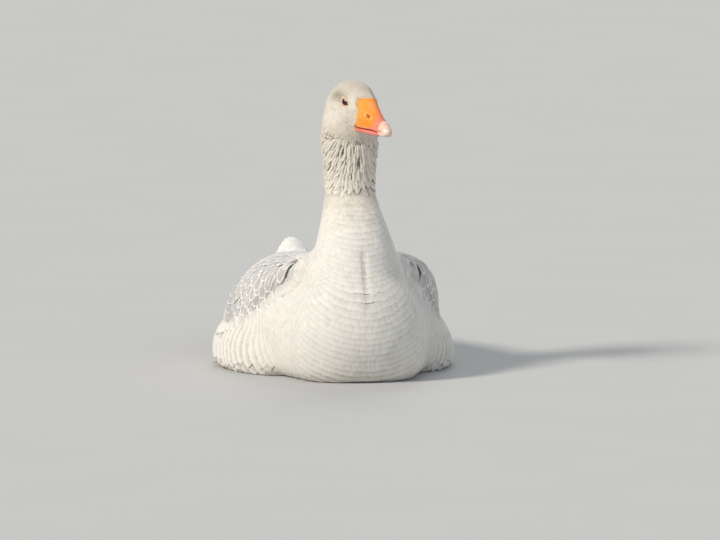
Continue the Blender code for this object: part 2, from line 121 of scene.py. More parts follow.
def hermite(rows, at):
    """Rows of a table interpolated at many places with a smooth monotone curve."""
    table = np.array(rows, float)
    places, values = table[:, 0], table[:, 1:]
    steps = np.diff(places)
    slopes = np.diff(values, axis=0) / steps[:, None]
    tangents = np.vstack([slopes[:1], (slopes[1:] + slopes[:-1]) / 2, slopes[-1:]])
    tangents[1:-1][slopes[1:] * slopes[:-1] <= 0] = 0
    at = np.asarray(at, float)
    i = np.clip(np.searchsorted(places, at) - 1, 0, len(steps) - 1)
    t = ((at - places[i]) / steps[i])[..., None]
    h = steps[i][..., None]
    start = (2 * t**3 - 3 * t**2 + 1) * values[i] + (t**3 - 2 * t**2 + t) * h * tangents[i]
    end = (3 * t**2 - 2 * t**3) * values[i + 1] + (t**3 - t**2) * h * tangents[i + 1]
    return start + end


def mesh_arrays(mesh):
    points = np.empty(len(mesh.vertices) * 3)
    mesh.vertices.foreach_get("co", points)
    mesh.calc_loop_triangles()
    faces = np.empty(len(mesh.loop_triangles) * 3, int)
    mesh.loop_triangles.foreach_get("vertices", faces)
    return points.reshape(-1, 3), faces.reshape(-1, 3)


def point_normals(points, faces):
    a, b, c = (points[faces[:, k]] for k in range(3))
    areas = np.cross(b - a, c - a)
    normals = np.zeros_like(points)
    for k in range(3):
        np.add.at(normals, faces[:, k], areas)
    return unit(normals)


def link(name, data):
    thing = bpy.data.objects.new(name, data)
    bpy.context.scene.collection.objects.link(thing)
    return thing


def new_object(name, points, faces, smooth_shaded=True):
    mesh = bpy.data.meshes.new(name)
    faces = np.asarray(faces, np.int32)
    mesh.vertices.add(len(points))
    mesh.vertices.foreach_set("co", np.asarray(points, np.float32).ravel())
    mesh.loops.add(faces.size)
    mesh.loops.foreach_set("vertex_index", faces.ravel())
    mesh.polygons.add(len(faces))
    mesh.polygons.foreach_set("loop_start", np.arange(0, faces.size, faces.shape[1], dtype=np.int32))
    mesh.polygons.foreach_set("use_smooth", np.full(len(faces), smooth_shaded))
    mesh.update(calc_edges=True)
    mesh.validate()
    return link(name, mesh)


def paint(thing, colours, strength=None):
    """Writes the markings on the points of a mesh, and in alpha how strongly a vane's rim shows."""
    layer = thing.data.color_attributes.new("Marking", "FLOAT_COLOR", "POINT")
    alpha = np.ones(len(colours)) if strength is None else strength
    layer.data.foreach_set("color", np.column_stack([colours, alpha]).astype(np.float32).ravel())


def corner_map(thing, name, per_point):
    layer = thing.data.uv_layers.new(name=name)
    corners = np.empty(len(thing.data.loops), np.int32)
    thing.data.loops.foreach_get("vertex_index", corners)
    layer.data.foreach_set("uv", np.asarray(per_point, np.float32)[corners].ravel())


def put_on(thing, material, replaced=()):
    thing.data.materials.append(material)
    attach(thing, "root")
    if replaced:
        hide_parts(*replaced)


# ---------------------------------------------------------------- places taken from the frame

def middle(node):
    low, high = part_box(node)
    return np.array((low + high) / 2)


NAIL_DIP = math.radians(15.89)     # the nail's middle lies this far below level, seen from the eyes
EYES_BEHIND = 0.5 * MM             # the eyes' axis behind the origin of the head's measures
EYES_BELOW = 1.1 * MM              # and below it


def head_axes():
    """The head's frame: origin near the eyes' middle, x forward, y to its left, z up."""
    between = (middle("eye_left") + middle("eye_right")) / 2
    left = unit(middle("eye_left") - middle("eye_right"))
    to_nail = middle("bill_nail") - between
    ahead = unit(to_nail - (to_nail @ left) * left)
    over = np.cross(ahead, left)
    forward = ahead * math.cos(NAIL_DIP) + over * math.sin(NAIL_DIP)
    up = np.cross(forward, left)
    return between + forward * EYES_BEHIND + up * EYES_BELOW, np.array([forward, left, up])


HEAD_ORIGIN, HEAD_AXES = head_axes()


def to_head(points):
    """World points in the head's frame, in mm."""
    return (np.asarray(points) - HEAD_ORIGIN) @ HEAD_AXES.T / MM


def from_head(points):
    return np.asarray(points) * MM @ HEAD_AXES + HEAD_ORIGIN


NECK_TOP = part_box("head")[0].z
FLIGHT_LOW, FLIGHT_HIGH = (np.array(corner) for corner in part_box("flight_left"))
TAIL_LOW, TAIL_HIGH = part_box("tail")
WING_END = np.array([FLIGHT_LOW[0], FLIGHT_HIGH[1], middle("flight_left")[2]])
TAIL_TIP = np.array([0.0, TAIL_HIGH.y + 0.02, TAIL_HIGH.z - 0.012])
BILL_ROOT = from_head([(30, 0, -9)])[0]
BILL_BASE = from_head([(22, 0, -10)])[0]


# ---------------------------------------------------------------- the skin

BODY_DEPTH = 0.0038                # how thick the coat is
NECK_DEPTH = 0.0034
FACE_DEPTH = 0.0012
LESS_BY_BILL = 0.0007
FURROWS_FOOT, FURROWS_FULL = 0.206, 0.250   # heights where the neck's furrows begin and are full


def below_jaw(local):
    """How far a place in the head's frame lies below the line where the neck's furrows begin, mm."""
    return -37 - 0.16 * np.clip(local[..., 0], -50, 10) - local[..., 2]


def coat_depth(points):
    """How far the skin lies inside the outline: thin on the face and where the belly is pressed flat."""
    head = 1 - smooth(-3, 12, below_jaw(to_head(points)))
    near_bill = 1 - smooth(0.024, 0.046, np.linalg.norm(points - BILL_ROOT, axis=1))
    neck = smooth(0.15, 0.19, points[:, 2])
    depth = BODY_DEPTH * (1 - neck) + NECK_DEPTH * neck
    depth = depth * (1 - head) + (FACE_DEPTH - LESS_BY_BILL * near_bill) * head
    return depth * (0.25 + 0.75 * smooth(0.002, 0.03, points[:, 2]))


def relax(points, edges, passes, hold=None):
    """Evens a mesh out by moving each point towards the middle of its neighbours."""
    count = np.zeros(len(points))
    np.add.at(count, edges.ravel(), 1)
    move = 0.5 if hold is None else 0.5 * (1 - hold)[:, None]
    for _ in range(passes):
        total = np.zeros_like(points)
        np.add.at(total, edges[:, 0], points[edges[:, 1]])
        np.add.at(total, edges[:, 1], points[edges[:, 0]])
        points = points + (total / np.maximum(count, 1)[:, None] - points) * move
    return points


def edges_of(faces):
    pairs = np.concatenate([faces[:, [0, 1]], faces[:, [1, 2]], faces[:, [2, 0]]])
    return np.unique(np.sort(pairs, axis=1), axis=0)


def largest_piece(points, faces):
    """Drops loose inner shells that a remesh can leave."""
    edges = edges_of(faces)
    label = np.arange(len(points))
    while True:
        low = np.minimum(label[edges[:, 0]], label[edges[:, 1]])
        fresh = label.copy()
        np.minimum.at(fresh, edges[:, 0], low)
        np.minimum.at(fresh, edges[:, 1], low)
        fresh = fresh[fresh]
        if (fresh == label).all():
            break
        label = fresh
    names, sizes = np.unique(label, return_counts=True)
    keep = label == names[sizes.argmax()]
    index = np.cumsum(keep) - 1
    return points[keep], index[faces[keep[faces[:, 0]]]]


def joined(pieces):
    """Arrays of several meshes as one."""
    points, faces, start = [], [], 0
    for some_points, some_faces in pieces:
        points.append(some_points)
        faces.append(some_faces + start)
        start += len(some_points)
    return np.vstack(points), np.vstack(faces)


def node_arrays(name, grow=0.0):
    """A CAD node's mesh with shared corners, moved outwards by grow."""
    points, faces = mesh_arrays(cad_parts[name].data)
    _, first, index = np.unique(np.round(points, 7), axis=0, return_index=True, return_inverse=True)
    points, faces = points[first], index.reshape(-1)[faces]
    return points + point_normals(points, faces) * grow, faces


def melted(pieces, voxel):
    """One closed mesh round everything given."""
    thing = new_object("melt_draft", *joined(pieces))
    melt = thing.modifiers.new("melt", "REMESH")
    melt.mode = "VOXEL"
    melt.voxel_size = voxel
    result = thing.evaluated_get(bpy.context.evaluated_depsgraph_get()).to_mesh()
    points, faces = mesh_arrays(result)
    bpy.data.objects.remove(thing, do_unlink=True)
    return largest_piece(points, faces)


def filled_body():
    """The body's outline with the creases between its parts filled: grown, melted and drawn in again."""
    points, faces = melted([node_arrays(name, CREASE) for name in CORE + WINGS], FILL_VOXEL)
    edges = edges_of(faces)
    points = relax(points, edges, 8)
    for _ in range(2):
        points = points - point_normals(points, faces) * (CREASE * 0.5)
        points = relax(points, edges, 4)
    return points, faces


def flesh_outline():
    """All flesh nodes, the filled body and the bill as a core, melted into one closed mesh."""
    pieces = [node_arrays(name, FLESH_MARGIN) for name in FLESH]
    pieces += [node_arrays(name) for name in BILL_NODES + EYE_NODES]
    return melted(pieces + [filled_body()], SKIN_VOXEL)


EYE_LOW, EYE_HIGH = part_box("eye_left")
EYE_RADIUS = (EYE_HIGH - EYE_LOW).z / 2
EYE_RINGS, EYE_TURNS = 48, 56       # how finely an eyeball is made
LID_OPENING = (5.3, 3.1)            # half length and half height of the opening between the lids, mm
LID_SLANT = math.radians(-27)       # front corner of the opening lower than the back one
LID_REACH = 2.0                     # the lids end at this many openings from the middle
LID_THICKNESS = 0.30                # mm over the eyeball
EYE_FACING = (0.30, 0.95, 0.04)     # where an eye looks: forward, to its side, up


def eye_frames():
    """For each eye: centre, and axes along the opening, up across it, and outwards."""
    made = []
    for side, name in zip((1, -1), EYE_NODES):
        outward = unit(np.array([EYE_FACING[0], EYE_FACING[1] * side, EYE_FACING[2]]) @ HEAD_AXES)
        forward = unit(HEAD_AXES[0] - (HEAD_AXES[0] @ outward) * outward)
        up = unit(HEAD_AXES[2] - (HEAD_AXES[2] @ outward) * outward)
        up = unit(up - (up @ forward) * forward)
        along = forward * math.cos(LID_SLANT) + up * math.sin(LID_SLANT)
        across = up * math.cos(LID_SLANT) - forward * math.sin(LID_SLANT)
        made.append((middle(name), np.array([along, across, outward])))
    return made


EYES = eye_frames()


def lid_distance(points, centre, axes):
    """Distance from the eye's middle in openings, 1 on the lids' edge; and the places in the eye's frame."""
    local = (points - centre) @ axes.T / MM
    almond = 1 + 0.14 * np.abs(local[:, 0]) / LID_OPENING[0]
    r = np.hypot(local[:, 0] / LID_OPENING[0], local[:, 1] / LID_OPENING[1] * almond)
    r[local[:, 2] < 0] = FAR
    return r, local


def add_lids(points):
    """Draws the skin over the eyeball as a raised ring with an almond opening, and tucks it in behind."""
    radius = EYE_RADIUS / MM
    for centre, axes in EYES:
        r, local = lid_distance(points, centre, axes)
        near = np.nonzero(r < LID_REACH)[0]
        r, natural = r[near], local[near, 2]
        flat = np.minimum(np.hypot(local[near, 0], local[near, 1]), radius * 0.86)
        ball = np.sqrt(radius**2 - flat**2)
        share = smooth(LID_REACH, 1.12, r)
        lid = natural * (1 - share) + (ball + LID_THICKNESS) * share
        lid = np.maximum(lid, ball + LID_THICKNESS * (r < 1.8))
        lid += 0.42 * ring(r, 1.24, 0.13) - 0.22 * ring(r, 1.62, 0.14)
        lid -= 2.8 * smooth(1.07, 0.93, r)
        points[near] += ((lid - natural) * MM)[:, None] * axes[2]
    return points


# Upper bill in the head's frame, mm. Rows: forward, half width at the edge, ridge, edge, squareness.
BILL = (
    (2, 11.6, 8.6, -27.0, 3.4),
    (17, 13.4, 9.8, -27.6, 3.2),
    (24, 13.6, 9.8, -27.5, 2.2),
    (33, 13.3, 8.6, -27.0, 1.62),
    (39, 12.9, 3.8, -26.4, 1.52),
    (45, 12.2, -1.4, -25.8, 1.5),
    (54, 10.8, -8.2, -25.4, 1.6),
    (63, 9.0, -14.2, -26.2, 1.8),
    (71, 7.6, -18.6, -27.6, 1.9),
    (75, 5.2, -21.6, -28.0, 2.0),
)
CULMEN_BASE = 33.5                  # the feathers end here on the ridge
BASE_CORNER = (13.9, 10.8)          # and here at the upper corners: forward, sideways
BASE_SIDE = 20.4                    # and here down the sides
GAPE_BASE = 16.2                    # and here at the corner of the mouth
LOWER_BARE = 33.0                   # and here under the chin


def bill_base(local):
    """How far forward the feathers reach on the bill, mm."""
    y, z = np.abs(local[..., 1]), local[..., 2]
    over = CULMEN_BASE - (CULMEN_BASE - BASE_CORNER[0]) * np.clip(y / BASE_CORNER[1], 0, 1) ** 1.1
    beside = BASE_SIDE + (BASE_CORNER[0] - BASE_SIDE) * smooth(-10, 3, z)
    beside = beside + (GAPE_BASE - BASE_SIDE) * smooth(-23.5, -26.5, z)
    return over + (beside - over) * smooth(5.0, 0.0, z)


def arch_scale(local):
    """1 on the upper bill's surface and less inside it; the distance from its axis; its edge's height."""
    table = hermite(BILL, np.clip(local[:, 0], BILL[0][0], BILL[-1][0]))
    width, ridge, edge, power = table.T
    y, z = np.abs(local[:, 1]), np.maximum(local[:, 2] - edge, 0)
    scale = ((y / width) ** power + (z / (ridge - edge)) ** power) ** (1 / power)
    return scale, np.hypot(y, z), edge


def fit_to_bill(points):
    """Lays the skin just outside the bill behind the feather line, and tucks it inside ahead of the line."""
    local = to_head(points)
    x, z = local[:, 0], local[:, 2]
    scale, away, edge = arch_scale(local)
    near = (x > 4) & (z > edge - 2) & (away > 1) & (scale < 1.6)
    past_line = x - bill_base(local)
    ahead = smooth(-0.7, 0.7, past_line)
    away = np.maximum(away, 1)
    outside = np.maximum(scale, 1 + 0.35 / away)
    inside = np.minimum(scale, np.maximum(1 - (1.3 + 3.2 * smooth(1, 7, past_line)) / away, 0.45))
    wanted = outside * (1 - ahead) + inside * ahead
    ease = smooth(4, 9, x) * smooth(-2, 1, z - edge)
    factor = 1 + (wanted / np.maximum(scale, 0.05) - 1) * ease
    moved = local.copy()
    moved[:, 1] = local[:, 1] * factor
    moved[:, 2] = edge + (z - edge) * factor
    local[near] = moved[near]
    return from_head(local)


def refine(points, faces):
    """Divides the faces round the eyes and the bill's base, where lids and the feather line are drawn."""
    thing = new_object("skin_draft", points, faces)
    shape = bmesh.new()
    shape.from_mesh(thing.data)
    for eye_reach in (0.0125, 0.0105):
        edges = []
        for edge in shape.edges:
            at = np.array((edge.verts[0].co + edge.verts[1].co) / 2)
            by_eye = min(np.linalg.norm(at - centre - axes[2] * EYE_RADIUS) for centre, axes in EYES)
            if by_eye < eye_reach or np.linalg.norm(at - BILL_BASE) < 0.030:
                edges.append(edge)
        bmesh.ops.subdivide_edges(shape, edges=edges, cuts=1, use_grid_fill=True)
        bmesh.ops.triangulate(shape, faces=shape.faces)
    shape.to_mesh(thing.data)
    shape.free()
    points, faces = mesh_arrays(thing.data)
    bpy.data.objects.remove(thing, do_unlink=True)
    return points, faces


GROOVE_X = 0.0012                   # the breast's feathers part just left of the middle
GROOVE_DEPTH = 0.0024
GROOVE_WIDTH = 0.0034
GROOVE_SHADE = 0.20


def groove_share(points):
    """1 in the middle of the breast's parting, fading out to its sides and ends."""
    tall = smooth(0.076, 0.120, points[..., 2]) * (1 - smooth(0.148, 0.164, points[..., 2]))
    front = points[..., 1] < middle("breast")[1]
    return ring(points[..., 0], GROOVE_X, GROOVE_WIDTH) * tall * front


def parted(points, normals):
    """Points let down into the breast's parting."""
    return points - normals * (groove_share(points) * GROOVE_DEPTH)[..., None]


def make_skin():
    points, faces = flesh_outline()
    edges = edges_of(faces)
    face_hold = 0.7 * (1 - smooth(0.030, 0.045, np.linalg.norm(points - BILL_ROOT, axis=1)))
    points = relax(points, edges, 6, face_hold)
    normals = point_normals(points, faces)
    points = points - normals * coat_depth(points)[:, None]
    points = relax(points, edges, 5, face_hold)
    points[:, 2] = np.maximum(points[:, 2], FLOOR_CLEARANCE)
    points, faces = refine(points, faces)
    return add_lids(fit_to_bill(points)), faces


NEIGHBOURS = tuple(itertools.product((-1, 0, 1), repeat=3))


def thin_out(places, spacing):
    """Keeps places that are at least spacing apart, first come first served."""
    taken, kept = {}, []
    square = spacing * spacing
    cells = np.floor(places / spacing).astype(int).tolist()
    for i, ((x, y, z), place) in enumerate(zip(cells, places.tolist())):
        close = (other for dx, dy, dz in NEIGHBOURS for other in taken.get((x + dx, y + dy, z + dz), ()))
        if all(sum((a - b) ** 2 for a, b in zip(place, other)) >= square for other in close):
            taken.setdefault((x, y, z), []).append(place)
            kept.append(i)
    return np.array(kept, int)


class Roots:
    """Places on the skin where feathers grow, with the skin's normal and face at each."""

    def __init__(self, places, normals, index):
        self.places, self.normals, self.index = places, normals, index

    def __len__(self):
        return len(self.places)

    def where(self, chosen):
        return Roots(self.places[chosen], self.normals[chosen], self.index[chosen])

    def thinned(self, spacing):
        return self.where(thin_out(self.places, spacing))


class Surface:
    """The skin as arrays, with lookups of the nearest place, its normal and its place on the unwrap."""

    def __init__(self, points, faces):
        self.points, self.faces = points, faces
        self.normals = point_normals(points, faces)
        a, b, c = (points[faces[:, k]] for k in range(3))
        self.areas = np.linalg.norm(np.cross(b - a, c - a), axis=1) / 2
        self.tree = BVHTree.FromPolygons(points.tolist(), faces.tolist())
        self.unwrap = None

    def nearest(self, places):
        found = np.empty_like(places)
        index = np.empty(len(places), int)
        for i, place in enumerate(places.tolist()):
            at, _, face, _ = self.tree.find_nearest(place)
            found[i] = at
            index[i] = face
        return Roots(found, self.normal_at(found, index), index)

    def weights(self, places, index):
        corners = self.points[self.faces[index]]
        share = 1 / (np.linalg.norm(corners - places[:, None], axis=2) + 1e-6)
        return share / share.sum(1, keepdims=True)

    def normal_at(self, places, index):
        share = self.weights(places, index)
        return unit((self.normals[self.faces[index]] * share[..., None]).sum(1))

    def unwrapped(self, places, index):
        share = self.weights(places, index)
        return (self.unwrap[index] * share[..., None]).sum(1)

    def scatter(self, count, rng, wanted):
        """Random places on the faces whose middles are wanted."""
        middles = self.points[self.faces].mean(1)
        odds = self.areas * wanted(middles)
        picked = rng.choice(len(odds), size=count, p=odds / odds.sum())
        u, v = rng.random(count), rng.random(count)
        over = u + v > 1
        u[over], v[over] = 1 - u[over], 1 - v[over]
        a, b, c = (self.points[self.faces[picked, k]] for k in range(3))
        places = a + (b - a) * u[:, None] + (c - a) * v[:, None]
        return Roots(places, self.normal_at(places, picked), picked)


def unwrap_skin(thing):
    """Lays the skin out on its OFBake map, and gives the map's corners face by face."""
    bpy.context.view_layer.objects.active = thing
    thing.select_set(True)
    bpy.ops.object.mode_set(mode="EDIT")
    bpy.ops.mesh.select_all(action="SELECT")
    thing.data.uv_layers.new(name="OFBake")
    bpy.ops.uv.smart_project(angle_limit=math.radians(66), island_margin=0.004)
    bpy.ops.object.mode_set(mode="OBJECT")
    thing.select_set(False)
    flat = np.empty(len(thing.data.loops) * 2)
    thing.data.uv_layers["OFBake"].data.foreach_get("uv", flat)
    return flat.reshape(-1, 3, 2)


# ---------------------------------------------------------------- regions and markings

def node_tree(names):
    points, faces = joined([mesh_arrays(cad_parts[name].data) for name in names])
    return BVHTree.FromPolygons(points.tolist(), faces.tolist())


WING_TREE = node_tree(WINGS)
CORE_TREE = node_tree(CORE)


def distance_to(tree, places):
    return np.array([tree.find_nearest(place)[3] for place in places.tolist()])


def wing_lead(places):
    """How much nearer a place is to a folded wing than to the body, from the CAD nodes."""
    below = 0.007 * smooth(0.094, 0.080, places[:, 2]) * smooth(0.16, 0.11, places[:, 1])
    lead = distance_to(CORE_TREE, places) - distance_to(WING_TREE, places)
    return lead + below * smooth(-0.085, -0.060, places[:, 1])


def wing_share(places):
    """1 on a folded wing and 0 off it."""
    return smooth(-0.0015, 0.0015, wing_lead(places))


WHITE = np.array((0.800, 0.785, 0.750))
CREAM = np.array((0.765, 0.715, 0.630))
HEAD_CREAM = np.array((0.720, 0.655, 0.550))
CROWN = np.array((0.530, 0.455, 0.370))
CHEEK = np.array((0.800, 0.750, 0.660))
# dark down of the neck, partly its own colour and partly painted shade in the slits between the locks
DOWN_AND_SLIT_SHADE = np.array((0.300, 0.255, 0.205))
WING_GREY = np.array((0.560, 0.545, 0.530))
BACK_GREY = np.array((0.600, 0.600, 0.600))
NEAR_FLOOR_TONE = (0.66, 0.60, 0.50)
LID_PEACH = np.array((0.860, 0.570, 0.390))
LID_EDGE = (0.30, 0.16, 0.10)
FLIGHT_DARK = np.array((0.085, 0.080, 0.080))
# red of the mouth, made dark as painted shade in the gape, the nostrils and under the upper bill's edge
SHADED_RED = np.array((0.380, 0.075, 0.042))


def ripple(places, scale, phase):
    """A slow wavy value about 0, the same on skin and coat."""
    x, y, z = np.moveaxis(np.asarray(places) * scale + phase, -1, 0)
    waves = np.sin(x + 1.7 * np.sin(y * 0.8)) + np.sin(y * 1.3 + 1.1 * np.sin(z))
    return (waves + np.sin(z * 1.1 + 1.3 * np.sin(x * 0.7))) / 3


def furrow_share(places):
    """1 on the furrowed upper neck, 0 on the smooth head and lower neck."""
    high = smooth(FURROWS_FOOT, FURROWS_FULL, places[..., 2])
    return smooth(0, 11, below_jaw(to_head(places))) * high


def head_colour(local):
    """Brown crown, pale cheek, brown behind the eye, a jaw painted darker as painted shade, a pale chin
    painted paler still as painted light, and pale lores.
    """
    x, y, z = local[:, 0], np.abs(local[:, 1]), local[:, 2]
    return layered(
        HEAD_CREAM,
        (CROWN, 0.70 * smooth(4, 20, z + 0.25 * x)),
        (CHEEK, 0.8 * spot(x, z, (-8, -20), (20, 13))),
        (CROWN * 0.70, spot(x, z, (-13, 4), (12, 6.5)) * smooth(8, 16, y)),
        # painted shade on the jaw
        (CROWN * 1.05, 0.35 * spot(x, z, (4, -27), (14, 8))),
        # pale chin feathers, painted paler still as painted light under the bill
        (CHEEK * 1.08, 0.8 * spot(x, z, (26, -38), (12, 7))),
        (CHEEK * 1.03, 0.75 * spot(x, z, (14, 1), (7, 9))),
    )


def body_colour(places, wing):
    """White body with a cream neck, a greyer back, a patchy darker tone near the floor and grey wings."""
    y, height = places[:, 1], places[:, 2]
    grey_back = smooth(0.100, 0.128, height) * smooth(-0.095, -0.02, y)
    # darker in patches within a few centimetres of the floor
    near_floor = np.exp(-height / 0.016) * (0.65 + 0.35 * ripple(places, 90, 1.0))
    return layered(
        WHITE,
        (CREAM, smooth(0.150, 0.215, height)),
        (BACK_GREY, 0.55 * grey_back * (1 - smooth(0.12, 0.17, y))),
        (NEAR_FLOOR_TONE, 0.35 * near_floor),
        (WING_GREY, wing),
    )


def inside_mouth(local):
    """1 on the skin that closes the mouth and fills the bill, painted dark red as painted shade in the gape.
    """
    x, y, z = local[:, 0], np.abs(local[:, 1]), local[:, 2]
    scale, _, edge = arch_scale(local)
    mouth = smooth(GAPE_BASE, GAPE_BASE + 2, x) * smooth(1.02, 0.96, y / 13.5) * smooth(-32.5, -31, z)
    in_bill = smooth(1.0, 0.93, scale) * smooth(0.5, 1.5, x - bill_base(local)) * smooth(-29, -28, z)
    return np.maximum(mouth * smooth(edge + 3, edge + 1, z), in_bill)


def markings(places, wing=0.0):
    """Base colour of skin and coat at a place on the body, with painted shade and light on the head and in
    the mouth.
    """
    local = to_head(places)
    on_head = smooth(NECK_TOP - 0.016, NECK_TOP + 0.014, places[:, 2])
    layers = [(head_colour(local), on_head), (SHADED_RED, inside_mouth(local))]
    for centre, axes in EYES:
        r, _ = lid_distance(places, centre, axes)
        layers.append((LID_PEACH, 0.90 * (1 - smooth(1.35, 1.95, r))))
        layers.append((LID_EDGE, 0.7 * (1 - smooth(1.0, 1.12, r))))
    mottle = 1 + 0.035 * ripple(places, 160, 0.3) + 0.02 * ripple(places, 420, 2.0)
    return layered(body_colour(places, wing), *layers) * mottle[:, None]


# ---------------------------------------------------------------- lie of the coat

PIVOT = np.array([0.0, 0.10, 0.30])         # the body's rows lie in planes through an axis across the bird
WING_PIVOT = np.array([0.0, 0.085, 0.20])   # the same for the coverts of the folded wings
ROW_RADIUS = 0.26                           # pitches of rows are given at this distance from the pivot
BODY_PITCHES = ((0, 0.0034), (38, 0.0034), (52, 0.0050), (66, 0.0078), (110, 0.0092), (170, 0.0092))
WING_PITCHES = ((-40, 0.0150), (0, 0.0170), (60, 0.0230), (120, 0.0290), (170, 0.0300))


def row_angle(places, pivot):
    """Angle about a pivot's axis: 0 in front of it, growing downwards and then back, in radians."""
    return np.arctan2(pivot[2] - places[..., 2], pivot[1] - places[..., 1])


def turning(places, pivot):
    """Direction about a pivot's axis, down in front of it and back below it."""
    angle = row_angle(places, pivot)[..., None]
    return np.concatenate([0 * angle, np.sin(angle), -np.cos(angle)], axis=-1)


def down_neck(places, normals):
    """Down, and more to the back on the neck's sides, most so where it is furrowed."""
    sideways = np.abs(normals[:, :1])
    furrowed = furrow_share(places)[:, None]
    back = (0.15 + 0.35 * sideways) * (1 - furrowed) + (0.1 + 1.25 * sideways) * furrowed
    return unit(np.concatenate([0 * back, back, -np.ones_like(back)], axis=1))


def over_wing(places):
    """Round the wing's pivot in front, and towards the wing's end behind."""
    side = np.sign(places[:, :1]) + (places[:, :1] == 0)
    end = WING_END * np.concatenate([side, np.ones_like(side), np.ones_like(side)], axis=1)
    behind = smooth(0.00, 0.10, places[:, 1:2])
    return turning(places, WING_PIVOT) * (1 - behind) + unit(end - places) * behind


def over_body(places):
    """Round the body's pivot, and towards the tail's tip at the end."""
    at_end = smooth(0.165, 0.215, places[:, 1:2])
    return unit(turning(places, PIVOT)) * (1 - at_end) + unit(TAIL_TIP - places) * at_end


def lie(places, normals, wing=0.0):
    """Direction in which the feathers point: back from the bill, down the neck, down and back on the body."""
    wing = np.asarray(wing)[..., None]
    on_head = smooth(NECK_TOP - 0.010, NECK_TOP + 0.016, places[:, 2])[:, None]
    on_neck = smooth(0.165, 0.215, places[:, 2])[:, None]
    body = over_body(places) * (1 - wing) + over_wing(places) * wing
    neck = down_neck(places, normals) * on_neck + unit(body) * (1 - on_neck)
    return flat_along(unit(places - BILL_ROOT) * on_head + unit(neck) * (1 - on_head), normals)


# ---------------------------------------------------------------- vanes

KEEL_END = 0.98                    # the keel under a vane's shaft ends at this share of its length


def vane_border(columns, rows):
    """Which points of one vane lie on its rim."""
    row, column = np.divmod(np.arange(columns * (rows + 1)), columns)
    rim = (row == 0) | (row == rows) | (column == 0) | (column == columns - 1)
    return np.concatenate([rim, np.zeros(rows + 1, bool)])


def vane_faces(columns, rows):
    """Triangles of one vane: its upper sheet, and an underside that folds in to a keel below the shaft."""
    faces = []

    def at(row, column):
        return row * columns + column

    keel = columns * (rows + 1)
    for row in range(rows):
        for column in range(columns - 1):
            a, b = at(row, column), at(row, column + 1)
            c, d = at(row + 1, column + 1), at(row + 1, column)
            faces += [(a, b, c), (a, c, d)]
        left, left_next = at(row, 0), at(row + 1, 0)
        right, right_next = at(row, columns - 1), at(row + 1, columns - 1)
        faces += [(keel + row, left, left_next), (keel + row, left_next, keel + row + 1)]
        faces += [(right, keel + row, keel + row + 1), (right, keel + row + 1, right_next)]
    for column in range(columns - 1):
        faces.append((keel, at(0, column + 1), at(0, column)))
        faces.append((keel + rows, at(rows, column), at(rows, column + 1)))
    return np.array(faces)


def vane_grid(reach, rows):
    """Each point's share of the vane's length and place across it, -1 to 1. The keel's points come last."""
    count, columns = reach.shape
    steps = np.linspace(0, 1, rows + 1)
    share = (steps[None, :, None] * reach[:, None, :]).reshape(count, -1)
    across = np.tile(np.linspace(-1, 1, columns), (count, rows + 1))
    share = np.concatenate([share, np.tile(steps * KEEL_END, (count, 1))], axis=1)
    return share, np.concatenate([across, np.zeros((count, rows + 1))], axis=1)


class Feathers:
    """Gathers closed vanes into one coat piece."""

    def __init__(self):
        self.parts, self.count = [], 0

    def add(self, points, across, columns, rows, colours, rims, patches):
        """Adds vanes of one form. patches: the middle of each vane's patch on the OFBake map."""
        n, per_vane = across.shape
        steps = np.linspace(0, 1, rows + 1)
        faces = vane_faces(columns, rows) + (self.count + np.arange(n) * per_vane)[:, None, None]
        along = np.concatenate([np.repeat(steps, columns), steps])
        vanes = np.broadcast_to(np.column_stack([(across[0] + 1) / 2, along]), (n, per_vane, 2))
        bakes = patches[:, None] + (vanes - 0.5) * BAKE_PATCH
        colours = np.broadcast_to(colours, points.shape)
        rims = np.broadcast_to(rims, across.shape)
        borders = np.tile(vane_border(columns, rows), n)
        flat = [points.reshape(-1, 3), faces.reshape(-1, 3), colours.reshape(-1, 3), rims.ravel()]
        self.parts.append(flat + [vanes.reshape(-1, 2), bakes.reshape(-1, 2), borders])
        self.count += n * per_vane

    def finish(self, name, material, slot, replaced=()):
        points, faces, colours, rims, vanes, bakes, borders = map(np.concatenate, zip(*self.parts))
        points[:, 2] = np.maximum(points[:, 2], FLOOR_CLEARANCE)
        thing = new_object(name, points, faces)
        paint(thing, colours, rims)
        crease_borders(thing, borders)
        corner_map(thing, "OFBake", bakes)
        corner_map(thing, "Vane", vanes)
        put_on(thing, material, replaced)


def crease_borders(thing, borders):
    """Marks the edges round each vane sharp, so that its thin sheet is shaded flat up to the rim."""
    ends = np.empty(len(thing.data.edges) * 2, np.int32)
    thing.data.edges.foreach_get("vertices", ends)
    layer = thing.data.attributes.new("sharp_edge", "BOOLEAN", "EDGE")
    layer.data.foreach_set("value", borders[ends.reshape(-1, 2)].all(1))


def spines(skin, roots, lengths, steps, cling, flow, heading):
    """Each feather's midline, stepped along the lie, or along its heading, over the skin."""
    place, normal = roots.places, roots.normals
    wing = wing_share(place)
    direction = lie(place, normal, wing) if heading is None else flat_along(heading, normal)
    made = [(place, normal, direction)]
    for _ in range(steps):
        ahead = place + direction * (lengths / steps)[:, None]
        found = skin.nearest(ahead)
        normal = found.normals
        off = ((ahead - found.places) * normal).sum(1) * (1 - cling)
        place = found.places + normal * np.maximum(off, 0)[:, None]
        direction = flat_along(direction, normal)
        if heading is None:
            direction = flat_along(direction * (1 - flow) + lie(place, normal, wing) * flow, normal)
        made.append((place, normal, direction))
    return (np.stack(values, 1) for values in zip(*made))


def along_spine(spine, share):
    """Values of a spine at fractions of its length, one set for each feather."""
    steps = spine.shape[1] - 1
    at = np.clip(share, 0, 1) * steps
    low = np.minimum(at.astype(int), steps - 1)
    part = (at - low)[..., None]
    rows = np.arange(len(spine))[:, None]
    return spine[rows, low] * (1 - part) + spine[rows, low + 1] * part


